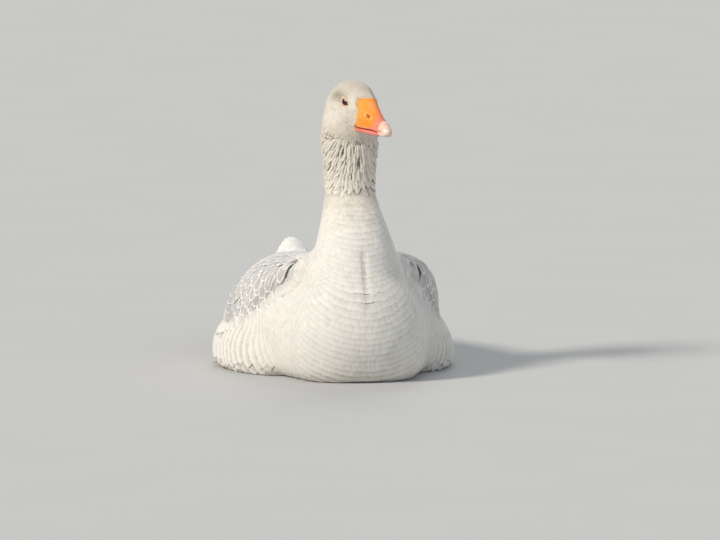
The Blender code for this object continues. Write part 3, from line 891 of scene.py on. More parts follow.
def grow(coat, skin, roots, rng, length, width, lift, colours, columns, rows, round_tip, ragged, camber,
         root_lift, thick, rim=0.0, cling=1.0, flow=0.6, slope=0.0, waist=0.3, heading=None, skew=0.0,
         edge_shade=0.0, rise=0.35, roll=0.0):
    """Adds one closed vane at each root. Most measures may differ from feather to feather.

    A vane rises from the skin over its first part (rise), then lies at its lift, less a slope that drops it
    by so much at the root's end, so that each row shows a small step over the next.
    """
    n = len(roots)

    def spread(value):
        return np.broadcast_to(np.asarray(value, float), (n,))[:, None]

    lines = spines(skin, roots, spread(length)[:, 0], rows, cling, flow, heading)
    shortened = round_tip * np.abs(np.linspace(-1, 1, columns)) ** 2.2
    share, across = vane_grid(1 - shortened + ragged * rng.uniform(-1, 1, (n, columns)), rows)
    at, up, ahead = (along_spine(values, share) for values in lines)
    up = unit(up)
    half = spread(width) / 2 * (waist + (1 - waist) * smooth(0, 0.45, share))
    height = spread(lift) * (root_lift + (1 - root_lift) * smooth(-0.02, rise, share))
    height = height - spread(slope) * (1 - share) * smooth(0, rise, share)
    height = height - spread(camber) * half * 2 * across**2 + spread(roll) * across * smooth(0.05, 0.4, share)
    height[:, -(rows + 1):] -= thick
    bend = spread(skew) * spread(length) * np.sin(share * 2.6)
    sideways = unit(np.cross(ahead, up))
    points = at + sideways * (across * half + bend)[..., None] + up * height[..., None]
    tone = (1 + 0.02 * rng.standard_normal(n))[:, None] * (1 - GROOVE_SHADE * groove_share(points))
    tone = tone * (1 - spread(edge_shade) * np.abs(across) ** 4)
    patches = skin.unwrapped(roots.places, roots.index)
    tint = colours[:, None] * tone[..., None]
    coat.add(parted(points, up), across, columns, rows, tint, spread(rim), patches)


QUILL_COLUMNS, QUILL_ROWS = 7, 10
QUILL_CAMBER = 0.13
QUILL_KEEL = 0.0006


def free_quill(coat, skin, roots, tips, outward, rng, width, colours, rim, sag=0.02, round_tip=0.12,
               taper=0.25):
    """Long feathers along given midlines, clear of the skin."""
    n = len(roots)
    steps = np.linspace(0, 1, QUILL_ROWS + 1)
    length = np.linalg.norm(tips - roots, axis=1)
    bow = (sag * length)[:, None, None] * (4 * steps * (1 - steps))[None, :, None]
    spine = roots[:, None] + (tips - roots)[:, None] * steps[None, :, None] + outward[:, None] * bow
    direction = unit(np.gradient(spine, axis=1))
    tilt = np.broadcast_to(outward[:, None], spine.shape)
    tilt = unit(tilt - (tilt * direction).sum(-1, keepdims=True) * direction)
    shortened = round_tip * np.linspace(-1, 1, QUILL_COLUMNS) ** 2
    reach = 1 - shortened + 0.01 * rng.uniform(-1, 1, (n, QUILL_COLUMNS))
    share, across = vane_grid(reach, QUILL_ROWS)
    at, up, ahead = (along_spine(values, share) for values in (spine, tilt, direction))
    narrow = (0.35 + 0.65 * smooth(0, 0.45, share)) * (1 - taper * smooth(0.6, 1.0, share))
    half = width / 2 * narrow
    height = -QUILL_CAMBER * half * 2 * across**2
    height[:, -(QUILL_ROWS + 1):] -= QUILL_KEEL
    points = at + unit(np.cross(ahead, up)) * (across * half)[..., None] + up * height[..., None]
    patches = skin.unwrapped(roots, skin.nearest(roots).index)
    coat.add(points, across, QUILL_COLUMNS, QUILL_ROWS, colours[:, None], rim, patches)


# ---------------------------------------------------------------- rows of roots

def row_numbers(places, pitches, pivot):
    """Row number of each place, counted about the pivot, and the spacing of rows there.

    pitches: rows of (angle in degrees, pitch in metres at ROW_RADIUS from the pivot).
    """
    table = np.array(pitches, float)
    angles = np.radians(np.linspace(table[0, 0], table[-1, 0], 400))
    pitch = np.interp(angles, np.radians(table[:, 0]), table[:, 1])
    number = np.concatenate([[0], np.cumsum(ROW_RADIUS * np.diff(angles) / pitch[:-1])])
    angle = row_angle(places, pivot)
    radius = np.linalg.norm((places - pivot)[..., 1:], axis=-1)
    return np.interp(angle, angles, number), np.interp(angle, angles, pitch) * radius / ROW_RADIUS


def thinned_rows(places, row, gap):
    """Thins out each row by itself. gap: a function from a row's members to the least distance in it."""
    kept = []
    for one in np.unique(row):
        mine = np.nonzero(row == one)[0]
        kept.append(mine[thin_out(places[mine], gap(mine))])
    return np.concatenate(kept)


def in_rows(skin, pitches, spacing, rng, wanted, candidates, wobble=0.10, pivot=PIVOT):
    """Roots in rows across the body, each row at one angle about the pivot, and the spacing of rows there.

    spacing: the least distance in a row, as metres and as a share of the spacing of rows.
    """
    roots = skin.scatter(candidates, rng, wanted)
    number, pitch = row_numbers(roots.places, pitches, pivot)
    at = number + wobble * ripple(roots.places, 55, 0.9)
    row = np.round(at)
    near = np.abs(at - row) < 0.2
    roots, at, row, pitch = roots.where(near), at[near], row[near], pitch[near]

    def gap(mine):
        return spacing[0] + spacing[1] * float(np.median(pitch[mine]))

    kept = thinned_rows(roots.places, row, gap)
    roots, pitch, off = roots.where(kept), pitch[kept], row[kept] - at[kept]
    around = flat_along(turning(roots.places, pivot), roots.normals)
    return skin.nearest(roots.places + around * (off * pitch)[:, None]), pitch


# ---------------------------------------------------------------- coats of head and neck

# Forms of vanes. columns, rows: how many points across, and steps along. round_tip, ragged: how far the edges
# and chance shorten it. camber: how far its edges hang, in widths. root_lift: lift at the root, as a share.
# thick: depth of the keel. waist: width at the root, as a share. rise, slope: see grow. rim: how strongly the
# pale edge shows. flow: how fast a vane turns with the lie. cling: below 1 a vane spans hollows in the skin.
TUFT = {"columns": 3, "rows": 2, "round_tip": 0.30, "ragged": 0.10, "camber": 0.06, "root_lift": 0.45,
        "thick": 0.00010, "waist": 0.5, "slope": 0.00018}
LOCK = {"columns": 7, "rows": 6, "round_tip": 0.46, "ragged": 0.07, "root_lift": 0.25, "thick": 0.0010,
        "waist": 0.62, "rise": 0.4}
VELVET = {"columns": 5, "rows": 3, "round_tip": 0.30, "ragged": 0.08, "camber": 0.05, "root_lift": 0.2,
          "thick": 0.0002, "waist": 0.5, "slope": 0.0004}
CONTOUR = {"columns": 7, "rows": 5, "ragged": 0.016, "camber": 0.045, "root_lift": 0.15, "thick": 0.00015,
           "rise": 0.4}
COVERT = {"columns": 9, "rows": 7, "round_tip": 0.26, "ragged": 0.008, "camber": 0.03, "root_lift": 0.40,
          "thick": 0.0003, "slope": 0.0018, "rise": 0.4, "flow": 0.5}
EDGE_COVERT = {"columns": 7, "rows": 5, "round_tip": 0.26, "ragged": 0.008, "camber": 0.03, "root_lift": 0.5,
               "thick": 0.0003, "slope": 0.0008, "rise": 0.4, "rim": 0.3}
LONG = {"columns": 9, "rows": 10, "round_tip": 0.14, "ragged": 0.01, "camber": 0.045, "root_lift": 0.2,
        "thick": 0.0006, "waist": 0.55, "slope": 0.0012, "rise": 0.2, "cling": 0.6, "rim": 1.0}
WING_CAP = {"columns": 7, "rows": 5, "round_tip": 0.26, "ragged": 0.01, "camber": 0.045, "root_lift": 0.3,
            "thick": 0.0003, "slope": 0.0010, "rise": 0.3, "rim": 0.8}

# Measures of the coats, metres. A gap is the least distance between roots. Where a LENGTH or WIDTH has two
# values, the first is the smallest one, and the second is how much the largest has more.
TUFT_GAPS = (0.0011, 0.0016)                # by the bill and the eyes, and elsewhere
TUFT_LENGTH, TUFT_LIFT = 0.0060, 0.00080
LOCK_ROWS = 9.6 * MM                        # spacing of the locks' rows
LOCK_GAP, LOCK_LENGTH = 0.0049, (0.0120, 0.0065)
STRAND_SHIFT = 0.0011                       # a lock's outer strands start this far beside its middle
VELVET_GAP, VELVET_LENGTH = 0.0026, (0.0068, 0.0032)
CONTOUR_TOP, VELVET_FOOT = 0.212, 0.200     # body rows and neck coat overlap between these heights
CONTOUR_GAPS = (0.0022, 0.42)               # in a row, as metres and as a share of the spacing of rows
CONTOUR_LENGTH, CONTOUR_WIDTH = (0.0160, 0.0130), (0.0120, 0.0060)
CONTOUR_LIFT, BACK_GAP = 0.0037, 0.0072
COVERT_GAPS = (0.0020, 0.24)                # as for the body's rows
COVERT_LIFT = 0.0038
SHORTEST_COVERT, LONGEST_COVERT = 0.020, 0.040
NARROWEST_COVERT, WIDEST_COVERT = 0.0085, 0.0115
EDGE_GAP, EDGE_LENGTH, EDGE_WIDTH, EDGE_LIFT = 0.0054, 0.0165, 0.0110, 0.0020
CAP_GAP, CAP_LENGTH, CAP_WIDTH, CAP_LIFT = 0.0068, 0.021, 0.0125, 0.0030


def feathered_head(local):
    """Where tufts may stand: off the bill, off the skin under it, and off the lids."""
    scale, _, edge = arch_scale(local)
    on_bill = (local[:, 0] > bill_base(local) - 0.4) & (scale < 1.12) & (local[:, 2] > edge - 3)
    under_bill = (local[:, 0] > LOWER_BARE) & (local[:, 2] <= edge - 3)
    return ~on_bill & ~under_bill


def face_tufts(skin, rng):
    """Velvet of tiny feathers on the head, smallest by the bill and the eyes."""
    coat = Feathers()

    def wanted(places):
        return (places[:, 2] > NECK_TOP - 0.016) * (1 - 0.999 * smooth(0.2, 0.8, furrow_share(places)))

    roots = skin.scatter(60000, rng, wanted)
    small = smooth(34, 14, np.linalg.norm(to_head(roots.places) - (28, 0, -10), axis=1))
    for centre, axes in EYES:
        small = np.maximum(small, smooth(3.2, 1.7, lid_distance(roots.places, centre, axes)[0]))
    near_gap, far_gap = TUFT_GAPS
    tiny, plain = np.nonzero(small > 0.5)[0], np.nonzero(small <= 0.5)[0]
    tiny, plain = tiny[thin_out(roots.places[tiny], near_gap)], plain[thin_out(roots.places[plain], far_gap)]
    kept = np.concatenate([tiny, plain])
    roots, small = roots.where(kept), small[kept]
    clear = feathered_head(to_head(roots.places))
    for centre, axes in EYES:
        clear &= lid_distance(roots.places, centre, axes)[0] > 1.55
    roots, small = roots.where(clear), small[clear]
    length = TUFT_LENGTH * (1 - 0.45 * small) * rng.uniform(0.8, 1.2, len(roots))
    lift = TUFT_LIFT * (1 - 0.375 * small)
    grow(coat, skin, roots, rng, length, length * 0.40, lift, markings(roots.places), **TUFT)
    return coat


def lock_roots(skin, rng):
    """Staggered rows of places on the furrowed neck."""
    places = skin.scatter(30000, rng, lambda places: furrow_share(places) > 0.10).places
    local = to_head(places)
    at = (-local[:, 2] - 0.35 * np.abs(local[:, 1]) + 1.2 * ripple(places, 150, 0.2)) * MM / LOCK_ROWS
    row = np.round(at)
    near = np.abs(at - row) < 0.17
    places, row = places[near], row[near]
    return skin.nearest(places[thinned_rows(places, row, lambda mine: LOCK_GAP)])


# Strands of a lock: place beside its middle, share of its length, width in metres, share of its depth.
STRANDS = ((-1, 0.88, 0.0038, 0.84), (1, 0.88, 0.0038, 0.84), (0, 1, 0.0050, 1))


def neck_locks(skin, rng):
    """Plump pointed locks of the furrowed neck, in staggered rows, with dark slits between."""
    coat = Feathers()
    roots = lock_roots(skin, rng)
    n = len(roots)
    share = furrow_share(roots.places)
    depth = coat_depth(roots.places) * (0.45 + 0.80 * share)
    colour = blend_colours(markings(roots.places), CHEEK * 1.04, 0.60)
    length = (LOCK_LENGTH[0] + LOCK_LENGTH[1] * share) * rng.uniform(0.85, 1.2, n)
    heading = lie(roots.places, roots.normals)
    plump = smooth(0.15, 0.75, furrow_share(roots.places + heading * length[:, None])) * share
    sideways = np.cross(flat_along(heading, roots.normals), roots.normals)
    for place, long, width, deep in STRANDS:
        strand = skin.nearest(roots.places + sideways * (place * STRAND_SHIFT))
        skew = 0.05 * rng.standard_normal(n) + 0.05 * place
        grow(coat, skin, strand, rng, length * long, width, depth * deep, colour, camber=0.06 + 0.34 * plump,
             skew=skew, edge_shade=0.70 * plump, **LOCK)
    return coat


def neck_velvet(skin, rng):
    """Short close feathers between and below the furrows, down to the breast."""
    coat = Feathers()

    def wanted(places):
        below = 1 - smooth(NECK_TOP - 0.016, NECK_TOP - 0.006, places[:, 2])
        return (places[:, 2] > VELVET_FOOT) * np.maximum(below, smooth(0.05, 0.2, furrow_share(places)))

    roots = skin.scatter(70000, rng, wanted).thinned(VELVET_GAP)
    n = len(roots)
    share = furrow_share(roots.places)
    lower = smooth(NECK_TOP, NECK_TOP - 0.030, roots.places[:, 2])
    length = (VELVET_LENGTH[0] + VELVET_LENGTH[1] * lower) * rng.uniform(0.88, 1.12, n)
    # velvet between the locks painted darker: the down's colour and painted shade in the slits
    colour = blend_colours(markings(roots.places), DOWN_AND_SLIT_SHADE * 1.2, 0.85 * smooth(0.15, 0.6, share))
    colour = colour * (1 + 0.035 * rng.standard_normal(n))[:, None]
    lift = coat_depth(roots.places) * (0.96 - 0.70 * share) + 0.00006 * rng.standard_normal(n)
    grow(coat, skin, roots, rng, length, length * 0.55, lift, colour, **VELVET)
    return coat


# ---------------------------------------------------------------- coat of the body

def wing_edge_puff(roots):
    """1 on the body right beside a wing's front and lower edge, where the flank's feathers swell over it."""
    beside = ring(distance_to(WING_TREE, roots.places), 0, 0.009)
    return beside * smooth(0.75, 0.35, roots.normals[:, 2]) * smooth(0.17, 0.12, roots.places[:, 1])


def wing_lap(places):
    """1 where the body's feathers may lap over a wing's edge: at its shoulder, its front and below it."""
    y, height = places[:, 1], places[:, 2]
    shoulder = smooth(0.100, 0.112, height) * smooth(-0.02, -0.05, y)
    below = smooth(0.085, 0.070, height) * smooth(0.20, 0.15, y)
    return np.maximum(np.maximum(shoulder, smooth(-0.080, -0.095, y)), below)


def contour_depth(places, puff, lap, lead):
    """Lift of the body's feathers: swollen beside a wing's lower edge, low where they dip under its top."""
    behind = smooth(-0.03, 0.01, places[:, 1])
    dip = behind * smooth(0.085, 0.100, places[:, 2]) * smooth(-0.014, -0.004, lead)
    over_floor = 0.3 + 0.7 * smooth(0.004, 0.03, places[:, 2])
    return CONTOUR_LIFT * over_floor + 0.0006 * puff + 0.0009 * lap - 0.0018 * dip


def contour_colour(places, large, puff, rng):
    """Markings of the body's feathers: deeper on the large ones and low down, mottled on the lower neck."""
    colour = markings(places)
    colour = blend_colours(colour, colour * (0.790, 0.745, 0.670), large * (1 - puff))
    mottle = smooth(0.150, 0.195, places[:, 2])
    colour = colour * (1 + 0.035 * mottle * rng.standard_normal(len(places)))[:, None]
    return blend_colours(colour, colour * (0.955, 0.935, 0.905), smooth(0.185, 0.150, places[:, 2]))


def contour_feathers(skin, rng, low_x, high_x):
    """Rows of soft feathers over breast, flanks, back and rump, between two planes along the body."""
    coat = Feathers()

    def wanted(places):
        inside = (places[:, 2] < CONTOUR_TOP) * (places[:, 0] >= low_x) * (places[:, 0] < high_x)
        return inside * smooth(0.001, 0.004, places[:, 2])

    roots, pitch = in_rows(skin, BODY_PITCHES, CONTOUR_GAPS, rng, wanted, 90000)
    lead, lap = wing_lead(roots.places), wing_lap(roots.places)
    keep = (lead < 0.0045 * lap) & (roots.normals[:, 2] > -0.93)
    roots, pitch, lead, lap = roots.where(keep), pitch[keep], lead[keep], lap[keep]
    places, large, puff = roots.places, smooth(0.0050, 0.0090, pitch), wing_edge_puff(roots)
    by_groove = groove_share((places - (GROOVE_X, 0, 0)) * (0.25, 1, 1) + (GROOVE_X, 0, 0))
    length = (CONTOUR_LENGTH[0] + CONTOUR_LENGTH[1] * large) * rng.uniform(0.975, 1.025, len(roots))
    length = length * (1 - 0.35 * smooth(0.18, 0.22, places[:, 1]))
    width = (CONTOUR_WIDTH[0] + CONTOUR_WIDTH[1] * large) * (1 - 0.25 * by_groove)
    depth = contour_depth(places, puff, lap * smooth(-0.006, 0.001, lead), lead)
    depth = depth + 0.00002 * rng.standard_normal(len(roots))
    colour = contour_colour(places, large, puff, rng)
    rim, slope = 0.25 + 0.75 * large, 0.00036 + 0.00075 * large
    skew = np.sign(places[:, 0] - GROOVE_X) * by_groove * 0.04
    on_back = (places[:, 1] > 0.0) & (places[:, 2] > 0.095)
    back = np.flatnonzero(on_back)
    back = back[thin_out(places[back], BACK_GAP)]
    for these, round_tip, share in ((np.flatnonzero(~on_back), 0.10, 1.0), (back, 0.28, 0.88)):
        if len(these):
            grow(coat, skin, roots.where(these), rng, length[these], width[these] * share, depth[these],
                 colour[these], rim=rim[these], round_tip=round_tip, slope=slope[these], skew=skew[these],
                 **CONTOUR)
    return coat


# ---------------------------------------------------------------- coats of wings and tail

def on_side(places, side):
    return places[:, 0] * side > 0


def wing_coverts(skin, rng, side):
    """Rows of pale grey, white-edged feathers on the front half of a folded wing."""
    coat = Feathers()

    def wanted(places):
        return (places[:, 2] < 0.17) * on_side(places, side) * (places[:, 1] > -0.14) * (places[:, 1] < 0.16)

    roots, pitch = in_rows(skin, WING_PITCHES, COVERT_GAPS, rng, wanted, 50000, 0.05, WING_PIVOT)
    keep = wing_share(roots.places) > 0.5
    roots, pitch = roots.where(keep), pitch[keep]
    length = np.clip(pitch * 2.8, SHORTEST_COVERT, LONGEST_COVERT) * rng.uniform(0.94, 1.06, len(roots))
    near_edge = smooth(0.014, 0.004, wing_lead(roots.places)) * smooth(0.125, 0.105, roots.places[:, 2])
    lift = COVERT_LIFT + 0.00015 * rng.standard_normal(len(roots)) - 0.0012 * near_edge
    width = np.clip(pitch * 0.85, NARROWEST_COVERT, WIDEST_COVERT)
    grow(coat, skin, roots, rng, length, width, lift, markings(roots.places, 1.0), rim=1 - 0.8 * near_edge,
         **COVERT)
    roots = skin.scatter(9000, rng, wanted)
    lead = wing_lead(roots.places)
    roots = roots.where((lead > -0.003) & (lead < 0.013)).thinned(EDGE_GAP)
    length = EDGE_LENGTH * rng.uniform(0.9, 1.1, len(roots))
    lift = EDGE_LIFT + 0.0015 * smooth(0.108, 0.122, roots.places[:, 2])
    grow(coat, skin, roots, rng, length, EDGE_WIDTH, lift, markings(roots.places, 0.6), **EDGE_COVERT)
    return coat


# Rows of long feathers on a wing. Columns: y of the row at a height of 0.10, spacing, length, width, lift.
LONG_ROWS = (
    (0.030, 0.0110, 0.075, 0.0200, 0.0050),
    (0.060, 0.0120, 0.085, 0.0210, 0.0046),
    (0.095, 0.0125, 0.092, 0.0215, 0.0042),
    (0.130, 0.0125, 0.080, 0.0205, 0.0040),
    (0.165, 0.0120, 0.066, 0.0195, 0.0038),
    (0.195, 0.0110, 0.046, 0.0180, 0.0036),
)


def long_row(skin, rng, side, start_y, spacing):
    """Roots of one row of long feathers, from the wing's lower edge upwards."""

    def wanted(places):
        return (places[:, 2] < 0.16) * on_side(places, side) * (places[:, 1] > -0.02)

    roots = skin.scatter(9000, rng, wanted)
    off_row = roots.places[:, 1] - start_y - 0.9 * (roots.places[:, 2] - 0.10)
    roots = roots.where(np.abs(off_row) < 0.004)
    roots = roots.where(wing_share(roots.places) > 0.5)
    return roots.where(np.argsort(roots.places[:, 2])).thinned(spacing)


def long_wing_feathers(skin, rng, side):
    """Secondaries, tertials and scapulars that sweep back to the wing's end."""
    coat = Feathers()
    end = WING_END * (side, 1, 1)
    for start_y, spacing, length, width, lift in LONG_ROWS:
        roots = long_row(skin, rng, side, start_y, spacing)
        high = smooth(0.085, 0.125, roots.places[:, 2])[:, None]
        target = end * (1 - high) + (end * (0.35, 0.98, 1) + np.array([0, 0, 0.012])) * high
        heading = target - roots.places
        reach = length * rng.uniform(0.90, 1.10, len(roots))
        reach = np.minimum(reach, np.linalg.norm(heading, axis=1) * 1.02 + 0.004)
        roll = 0.0016 * side * (1 - 0.5 * high[:, 0])
        lifts = lift * (1 - 0.26 * high[:, 0])
        grow(coat, skin, roots, rng, reach, width, lifts, markings(roots.places, 1.0),
             heading=unit(heading), roll=roll, **LONG)
    cap_wing_end(coat, skin, rng, side)
    return coat


def cap_wing_end(coat, skin, rng, side):
    """Small grey feathers that close the rounded end of the wing."""
    end = WING_END * (side, 1, 1) + (0, 0.03, -0.005)

    def wanted(places):
        return (places[:, 2] < 0.14) * on_side(places, side) * (places[:, 1] > 0.195)

    roots = skin.scatter(9000, rng, wanted)
    keep = (wing_share(roots.places) > 0.5) & (roots.places[:, 2] > 0.064) & (roots.normals[:, 2] > -0.15)
    roots = roots.where(keep).thinned(CAP_GAP)
    length = CAP_LENGTH * rng.uniform(0.9, 1.1, len(roots))
    grow(coat, skin, roots, rng, length, CAP_WIDTH, CAP_LIFT, markings(roots.places, 1.0),
         heading=unit(end - roots.places), **WING_CAP)


PRIMARIES, PRIMARY_WIDTH = 6, 0.015


def primaries(skin, rng, side):
    """Dark tips of the long flight feathers, one over another behind the wing."""
    coat = Feathers()
    (low_x, low_y, _), (_, high_y, high_z) = FLIGHT_LOW, FLIGHT_HIGH
    ranks = np.linspace(0, 1, PRIMARIES)
    roots = np.array([[low_x + 0.016, low_y - 0.050, high_z - 0.018 * r] for r in ranks]) * (side, 1, 1)
    tips = np.array([[low_x + 0.002 + 0.003 * r, high_y - 0.034 * (1 - r) ** 1.2, high_z - 0.012 - 0.008 * r]
                     for r in ranks]) * (side, 1, 1)
    outward = unit(np.array([[side, 0, 0.25]] * PRIMARIES))
    colours = np.tile(FLIGHT_DARK, (PRIMARIES, 1))
    free_quill(coat, skin, roots, tips, outward, rng, PRIMARY_WIDTH, colours, rim=0.25)
    return coat


# Layers of the tail, metres. Rows: feathers, root y, middle tip y, how far the outer tips fall short,
# half spread of roots, of tips, droop of the outer roots, of the tips, rise of roots, of tips, width,
# 1 for facing up and -1 for facing down.
TAIL_LAYERS = (
    (16, 0.200, 0.2905, 0.034, 0.020, 0.0315, 0.010, 0.027, 0.000, 0.0003, 0.0180, 1),
    (9, 0.190, 0.2640, 0.022, 0.022, 0.0310, 0.010, 0.024, 0.002, 0.0028, 0.0180, 1),
    (9, 0.180, 0.2400, 0.018, 0.024, 0.0320, 0.010, 0.020, 0.005, 0.0050, 0.0190, 1),
    (9, 0.168, 0.2180, 0.014, 0.026, 0.0330, 0.010, 0.016, 0.009, 0.0072, 0.0195, 1),
    (9, 0.232, 0.2800, 0.026, 0.022, 0.0300, 0.014, 0.026, -0.018, -0.0028, 0.0180, -1),
    (9, 0.238, 0.2710, 0.020, 0.025, 0.0290, 0.012, 0.023, -0.034, -0.0110, 0.0180, -1),
    (9, 0.242, 0.2600, 0.014, 0.028, 0.0290, 0.010, 0.018, -0.056, -0.0260, 0.0180, -1),
)


def tail_roof(v, y, wide, droop, rise):
    """Places on the tail's roof, or so far over it: out to wide at v = 1, and lower there by droop."""
    ridge = TAIL_LOW.z + 0.009 + 0.043 * (y - TAIL_LOW.y) / (TAIL_HIGH.y - TAIL_LOW.y)
    return np.column_stack([v * wide, y, ridge - droop * v * v + rise])


TAIL_STACK = 0.0012                # the middle feathers lie so much over the outer ones


def tail_layer(coat, skin, rng, layer):
    """One layer of the fan, from its outermost feathers in to the middle one, which lies on top."""
    count, y_root, y_tip, short, wide, spread, droop, sink, root_rise, tip_rise, width, facing = layer
    v = np.linspace(-1, 1, count)
    v = v[np.argsort(-np.abs(v))]
    stack = TAIL_STACK * (1 - np.abs(v)) * facing
    roots = tail_roof(v, np.full(count, y_root), wide, droop, root_rise + stack)
    tips = tail_roof(v, y_tip - short * v * v, spread, sink, tip_rise + stack)
    outward = unit(np.column_stack([v * 1.1, np.full(count, -0.35 * facing), np.full(count, float(facing))]))
    tone = WHITE * rng.uniform(0.96, 1.02, (count, 1))
    free_quill(coat, skin, roots, tips, outward, rng, width, tone, rim=0.35, sag=-0.02 * facing,
               round_tip=0.13, taper=0.30)


def tail_feathers(skin, rng):
    """White tail feathers in a roof-shaped fan, with coverts over its root and under it."""
    coat = Feathers()
    for layer in TAIL_LAYERS:
        tail_layer(coat, skin, rng, layer)
    return coat


# ---------------------------------------------------------------- bill and eyes

# The nail over the bill's tip, with rows as in BILL.
NAIL = (
    (61.5, 5.0, -14.4, -20.0, 2.0),
    (64, 7.8, -13.9, -25.2, 2.0),
    (67.5, 8.9, -15.2, -28.8, 2.0),
    (71.5, 8.2, -17.4, -30.4, 2.0),
    (75.5, 6.2, -19.6, -30.0, 2.0),
    (78.5, 3.6, -21.8, -28.2, 2.0),
    (79.8, 1.0, -23.8, -26.4, 2.0),
)
# Lower bill. Rows: forward, half width, top, underside.
LOWER_BILL = (
    (2, 9.8, -27.4, -32.6),
    (20, 12.5, -27.2, -34.0),
    (36, 12.5, -26.5, -34.0),
    (52, 11.2, -25.9, -33.4),
    (62, 9.2, -26.6, -32.6),
    (69, 6.6, -28.0, -31.4),
    (71.5, 3.0, -28.8, -30.6),
)
ARCH_SHARE = 0.72                  # this share of a section's points lies on the arch, the rest under it
UPPER_GRID, NAIL_GRID, LOWER_GRID = (150, 132), (46, 60), (90, 56)   # sections, and points in each
UPPER_HOLLOW, NAIL_HOLLOW = 0.8, -1.3    # height of the middle of a section's underside over its edge, mm
NAIL_INSET = 0.15                  # mm
NOSTRIL = (39.2, -12.0)            # forward and up, mm
NOSTRIL_SIZE = (4.2, 1.70)         # half length and half height, mm
NOSTRIL_SLANT = math.radians(-16)  # runs down towards the tip
ORANGE = np.array((0.900, 0.275, 0.010))
ORANGE_DEEP = np.array((0.800, 0.190, 0.020))
# paler orange, for the painted highlights on the upper bill
ORANGE_HIGHLIGHT = np.array((0.930, 0.450, 0.090))
PINK = np.array((0.850, 0.235, 0.200))
NAIL_PALE = np.array((0.860, 0.560, 0.430))
NAIL_TIP = (0.90, 0.74, 0.62)
PUPIL = (0.006, 0.005, 0.005)
IRIS_DARK, IRIS_LIGHT, IRIS_RIM = (0.090, 0.030, 0.010), (0.200, 0.070, 0.018), (0.040, 0.016, 0.008)


def shell(rings):
    """Closed triangles over rings of equal size, with a fan over each end."""
    count, size = len(rings), rings.shape[1]
    points = np.vstack([rings.reshape(-1, 3), rings[0].mean(0), rings[-1].mean(0)])
    faces = []
    for k in range(count - 1):
        for j in range(size):
            a, b = k * size + j, k * size + (j + 1) % size
            faces += [(a, b, b + size), (a, b + size, a + size)]
    for j in range(size):
        after = (j + 1) % size
        faces.append((count * size, after, j))
        faces.append((count * size + 1, (count - 1) * size + j, (count - 1) * size + after))
    return points, np.array(faces)


def signed_power(values, power):
    return np.sign(values) * np.abs(values) ** power


def arch_rings(rows, count, size, hollow):
    """Sections of the upper bill or its nail: an arch from edge to edge over a shallow hollow."""
    places = np.linspace(rows[0][0], rows[-1][0], count)
    width, ridge, edge, power = (column[:, None] for column in hermite(rows, places).T)
    over = int(size * ARCH_SHARE)
    angle = np.linspace(0, math.pi, over)[None]
    across = signed_power(np.cos(angle), 2 / power)
    up = np.abs(np.sin(angle)) ** (2 / power)
    under = np.linspace(-1, 1, size - over + 2)[None, 1:-1]
    y = np.concatenate([across * width, under * width], axis=1)
    z = np.concatenate([edge + up * (ridge - edge), edge + hollow * (1 - under**2)], axis=1)
    return np.stack([np.broadcast_to(places[:, None], y.shape), y, z], axis=2)


def lower_rings(count, size):
    """Sections of the lower bill: rounded oblongs."""
    places = np.linspace(LOWER_BILL[0][0], LOWER_BILL[-1][0], count)
    width, top, under = (column[:, None] for column in hermite(LOWER_BILL, places).T)
    angle = np.linspace(0, 2 * math.pi, size, endpoint=False)[None]
    y = signed_power(np.cos(angle), 0.8) * width
    z = (top + under) / 2 + signed_power(np.sin(angle), 0.8) * (top - under) / 2
    return np.stack([np.broadcast_to(places[:, None], y.shape), y, z], axis=2)


def nostril_distance(local):
    """Distance from a nostril's middle, measured in nostrils: 1 on its edge."""
    dx, dz = local[..., 0] - NOSTRIL[0], local[..., 2] - NOSTRIL[1]
    along = dx * math.cos(NOSTRIL_SLANT) + dz * math.sin(NOSTRIL_SLANT)
    across = dz * math.cos(NOSTRIL_SLANT) - dx * math.sin(NOSTRIL_SLANT)
    r = np.hypot(along / NOSTRIL_SIZE[0], across / NOSTRIL_SIZE[1])
    return np.where(np.abs(local[..., 1]) > 3.0, r, FAR)


def sculpt_bill(points, faces):
    """Nostrils with raised rims, the soft hollow they lie in, a thin lip along the edge, and a firm ridge."""
    x, y, z = points[:, 0], np.abs(points[:, 1]), points[:, 2]
    r = nostril_distance(points)
    wide = np.hypot((x - 37) / 15, (z + 11 + (x - 37) * 0.42) / 7.0)
    push = -1.1 * np.exp(-(wide**2) * 1.4) * (y > 3)
    push += 0.75 * ring(r, 1.65, 0.45)
    push -= 2.3 * smooth(1.05, 0.55, r)
    push += 0.45 * ring(z, -25.4, 1.1) * (y > 6)
    push += 0.35 * ring(y, 0, 3.4) * smooth(30, 40, x) * smooth(62, 52, x)
    return points + point_normals(points, faces) * push[:, None]


def upper_paint(local):
    """Colours of the upper bill: yellow-orange at the base and pink towards the nail, with painted highlights
    by the base and round the nostrils, and painted shade on the ridge, in the nostrils and along the mouth.
    """
    x, y, z = local[:, 0], np.abs(local[:, 1]), local[:, 2]
    r = nostril_distance(local)
    # painted shade along the upper bill's lower edge, over the gape
    mouth_line_shade = smooth(-26.2, -27.4, z) * smooth(9.5, 12, y) * (x < 55)
    colour = layered(
        ORANGE,
        # painted highlight: a paler patch by the bill's base
        (ORANGE_HIGHLIGHT, 0.55 * spot(x, z, (24, -6), (12, 14))),
        # painted shade: deeper orange along the ridge
        (ORANGE_DEEP, 0.6 * smooth(7.5, 2.5, y) * smooth(22, 40, x)),
        (PINK, smooth(49, 61, x) * 0.8),
        (PINK, 0.5 * smooth(-21.5, -25.5, z) * smooth(20, 48, x)),
        (ORANGE_DEEP, 0.45 * smooth(16.5, 12.5, x)),
        # painted highlight: a pale ring on each nostril's raised rim
        (ORANGE_HIGHLIGHT, 0.6 * ring(r, 1.9, 0.5)),
        # painted shade: dark red in the nostrils and along the mouth's edge
        (SHADED_RED, smooth(1.15, 0.75, r)),
        (SHADED_RED, 0.75 * mouth_line_shade),
    )
    return colour * (1 + 0.05 * ripple(local, 0.55, 0.0))[:, None]


